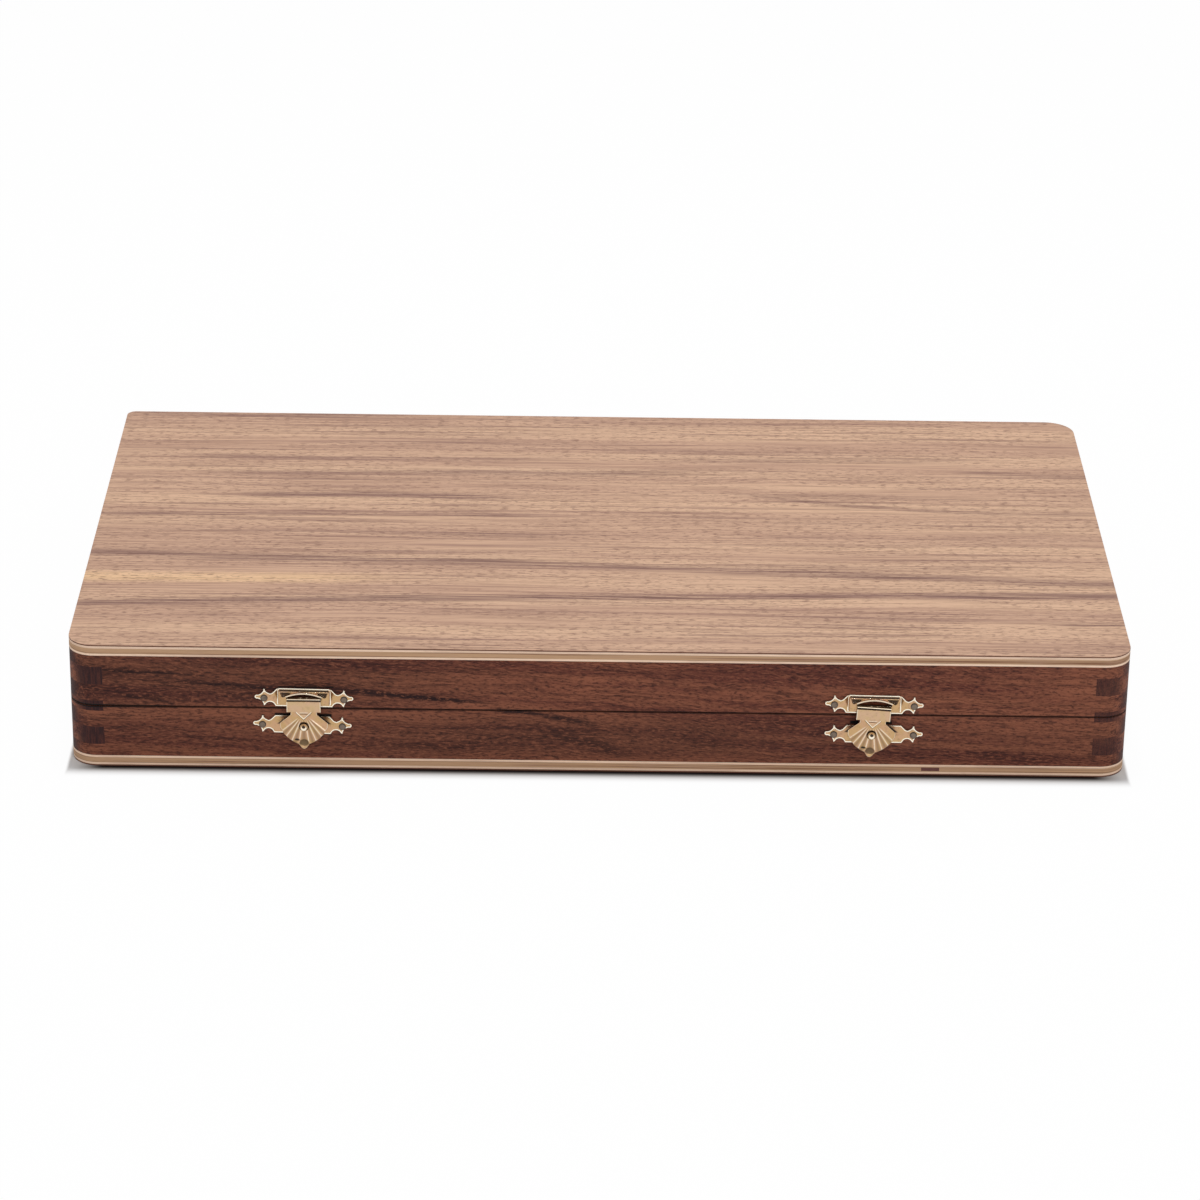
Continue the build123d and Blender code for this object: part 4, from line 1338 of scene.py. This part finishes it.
class BOARD_OT_dice(bpy.types.Operator):
    """Add the two dice"""

    bl_idname = "board.dice"
    bl_label = "Dice"

    def execute(self, context):
        colours, sizes = context.scene.board_colours, context.scene.board_sizes
        ivory = plain_finish("Dice body", colours.die, colours.ply_core, 0.28)
        ink = plain_finish("Dice pips", colours.pip, colours.rail_dark, 0.4)
        level = middle("dice").z
        pieces = []
        for side, tip in ((-1.0, 0.0), (1.0, math.pi / 2)):
            die = self.die(sizes.dice_size, ivory, ink)
            place = Matrix.Translation((0.0, side * sizes.dice_spread / 2, level))
            spin = Matrix.Rotation(side * sizes.dice_turn, 4, "Z") @ Matrix.Rotation(tip, 4, "X")
            settle(die, place @ spin)
            pieces.append(die)
        pair = joined(pieces, "pair_of_dice")
        smooth(pair)
        stand_for(pair, "base", "dice")
        return {"FINISHED"}

    def die(self, size, ivory, ink):
        """One die with rounded edges and sunk pips."""
        body = started(bpy.ops.mesh.primitive_cube_add, "body", size=size, location=(0.0, 0.0, 0.0))
        rounded(body, size * 0.12, 5)
        apply_modifiers(body)
        body.data.materials.append(ivory)
        pip = turned("pip", PIP_RINGS, 20)
        pip.data.materials.append(ink)
        quarter = math.pi / 2
        centre = [(0, 0)]
        pair = [(-1, -1), (1, 1)]
        square = pair + [(-1, 1), (1, -1)]
        faces = (
            (0.0, "X", centre),
            (2.0 * quarter, "X", square + [(-1, 0), (1, 0)]),
            (quarter, "X", pair),
            (-quarter, "X", square + centre),
            (quarter, "Y", pair + centre),
            (-quarter, "Y", square),
        )
        parts = [body]
        for angle, axis, pips in faces:
            for across, up in pips:
                spot = Matrix.Translation((across * size / 4, up * size / 4, size / 2))
                parts.append(copied(pip, "pip_copy", Matrix.Rotation(angle, 4, axis) @ spot))
        bpy.data.objects.remove(pip)
        return joined(parts, "die")


operators = (
    BOARD_OT_stage,
    BOARD_OT_panels,
    BOARD_OT_rails,
    BOARD_OT_fields,
    BOARD_OT_hinges,
    BOARD_OT_latch_plates,
    BOARD_OT_latch_levers,
    BOARD_OT_latch_fixings,
    BOARD_OT_men,
    BOARD_OT_dice,
)


class BOARD_PT_steps(bpy.types.Panel):
    """The steps that dress the board"""

    bl_idname = "BOARD_PT_steps"
    bl_label = "Backgammon board"
    bl_space_type = "VIEW_3D"
    bl_region_type = "UI"
    bl_category = "Backgammon"

    def draw(self, context):
        """A button for each step, then every colour and size."""
        for operator in operators:
            self.layout.operator(operator.bl_idname)
        for group in (context.scene.board_colours, context.scene.board_sizes, context.scene.board_stage):
            for name in group.__annotations__:
                self.layout.prop(group, name)


classes = (BoardColours, BoardSizes, BoardStage, *operators, BOARD_PT_steps)


def register():
    """Make the classes and their values known to Blender."""
    for part in classes:
        bpy.utils.register_class(part)
    bpy.types.Scene.board_colours = bpy.props.PointerProperty(type=BoardColours)
    bpy.types.Scene.board_sizes = bpy.props.PointerProperty(type=BoardSizes)
    bpy.types.Scene.board_stage = bpy.props.PointerProperty(type=BoardStage)


def unregister():
    """Take the classes and their values away again."""
    del bpy.types.Scene.board_colours
    del bpy.types.Scene.board_sizes
    del bpy.types.Scene.board_stage
    for part in reversed(classes):
        bpy.utils.unregister_class(part)


def main():
    """Dress the board step by step."""
    register()
    bpy.ops.board.stage()
    bpy.ops.board.panels()
    bpy.ops.board.rails()
    bpy.ops.board.fields()
    bpy.ops.board.hinges()
    bpy.ops.board.latch_plates()
    bpy.ops.board.latch_levers()
    bpy.ops.board.latch_fixings()
    bpy.ops.board.men()
    bpy.ops.board.dice()


if __name__ == "__main__":
    main()
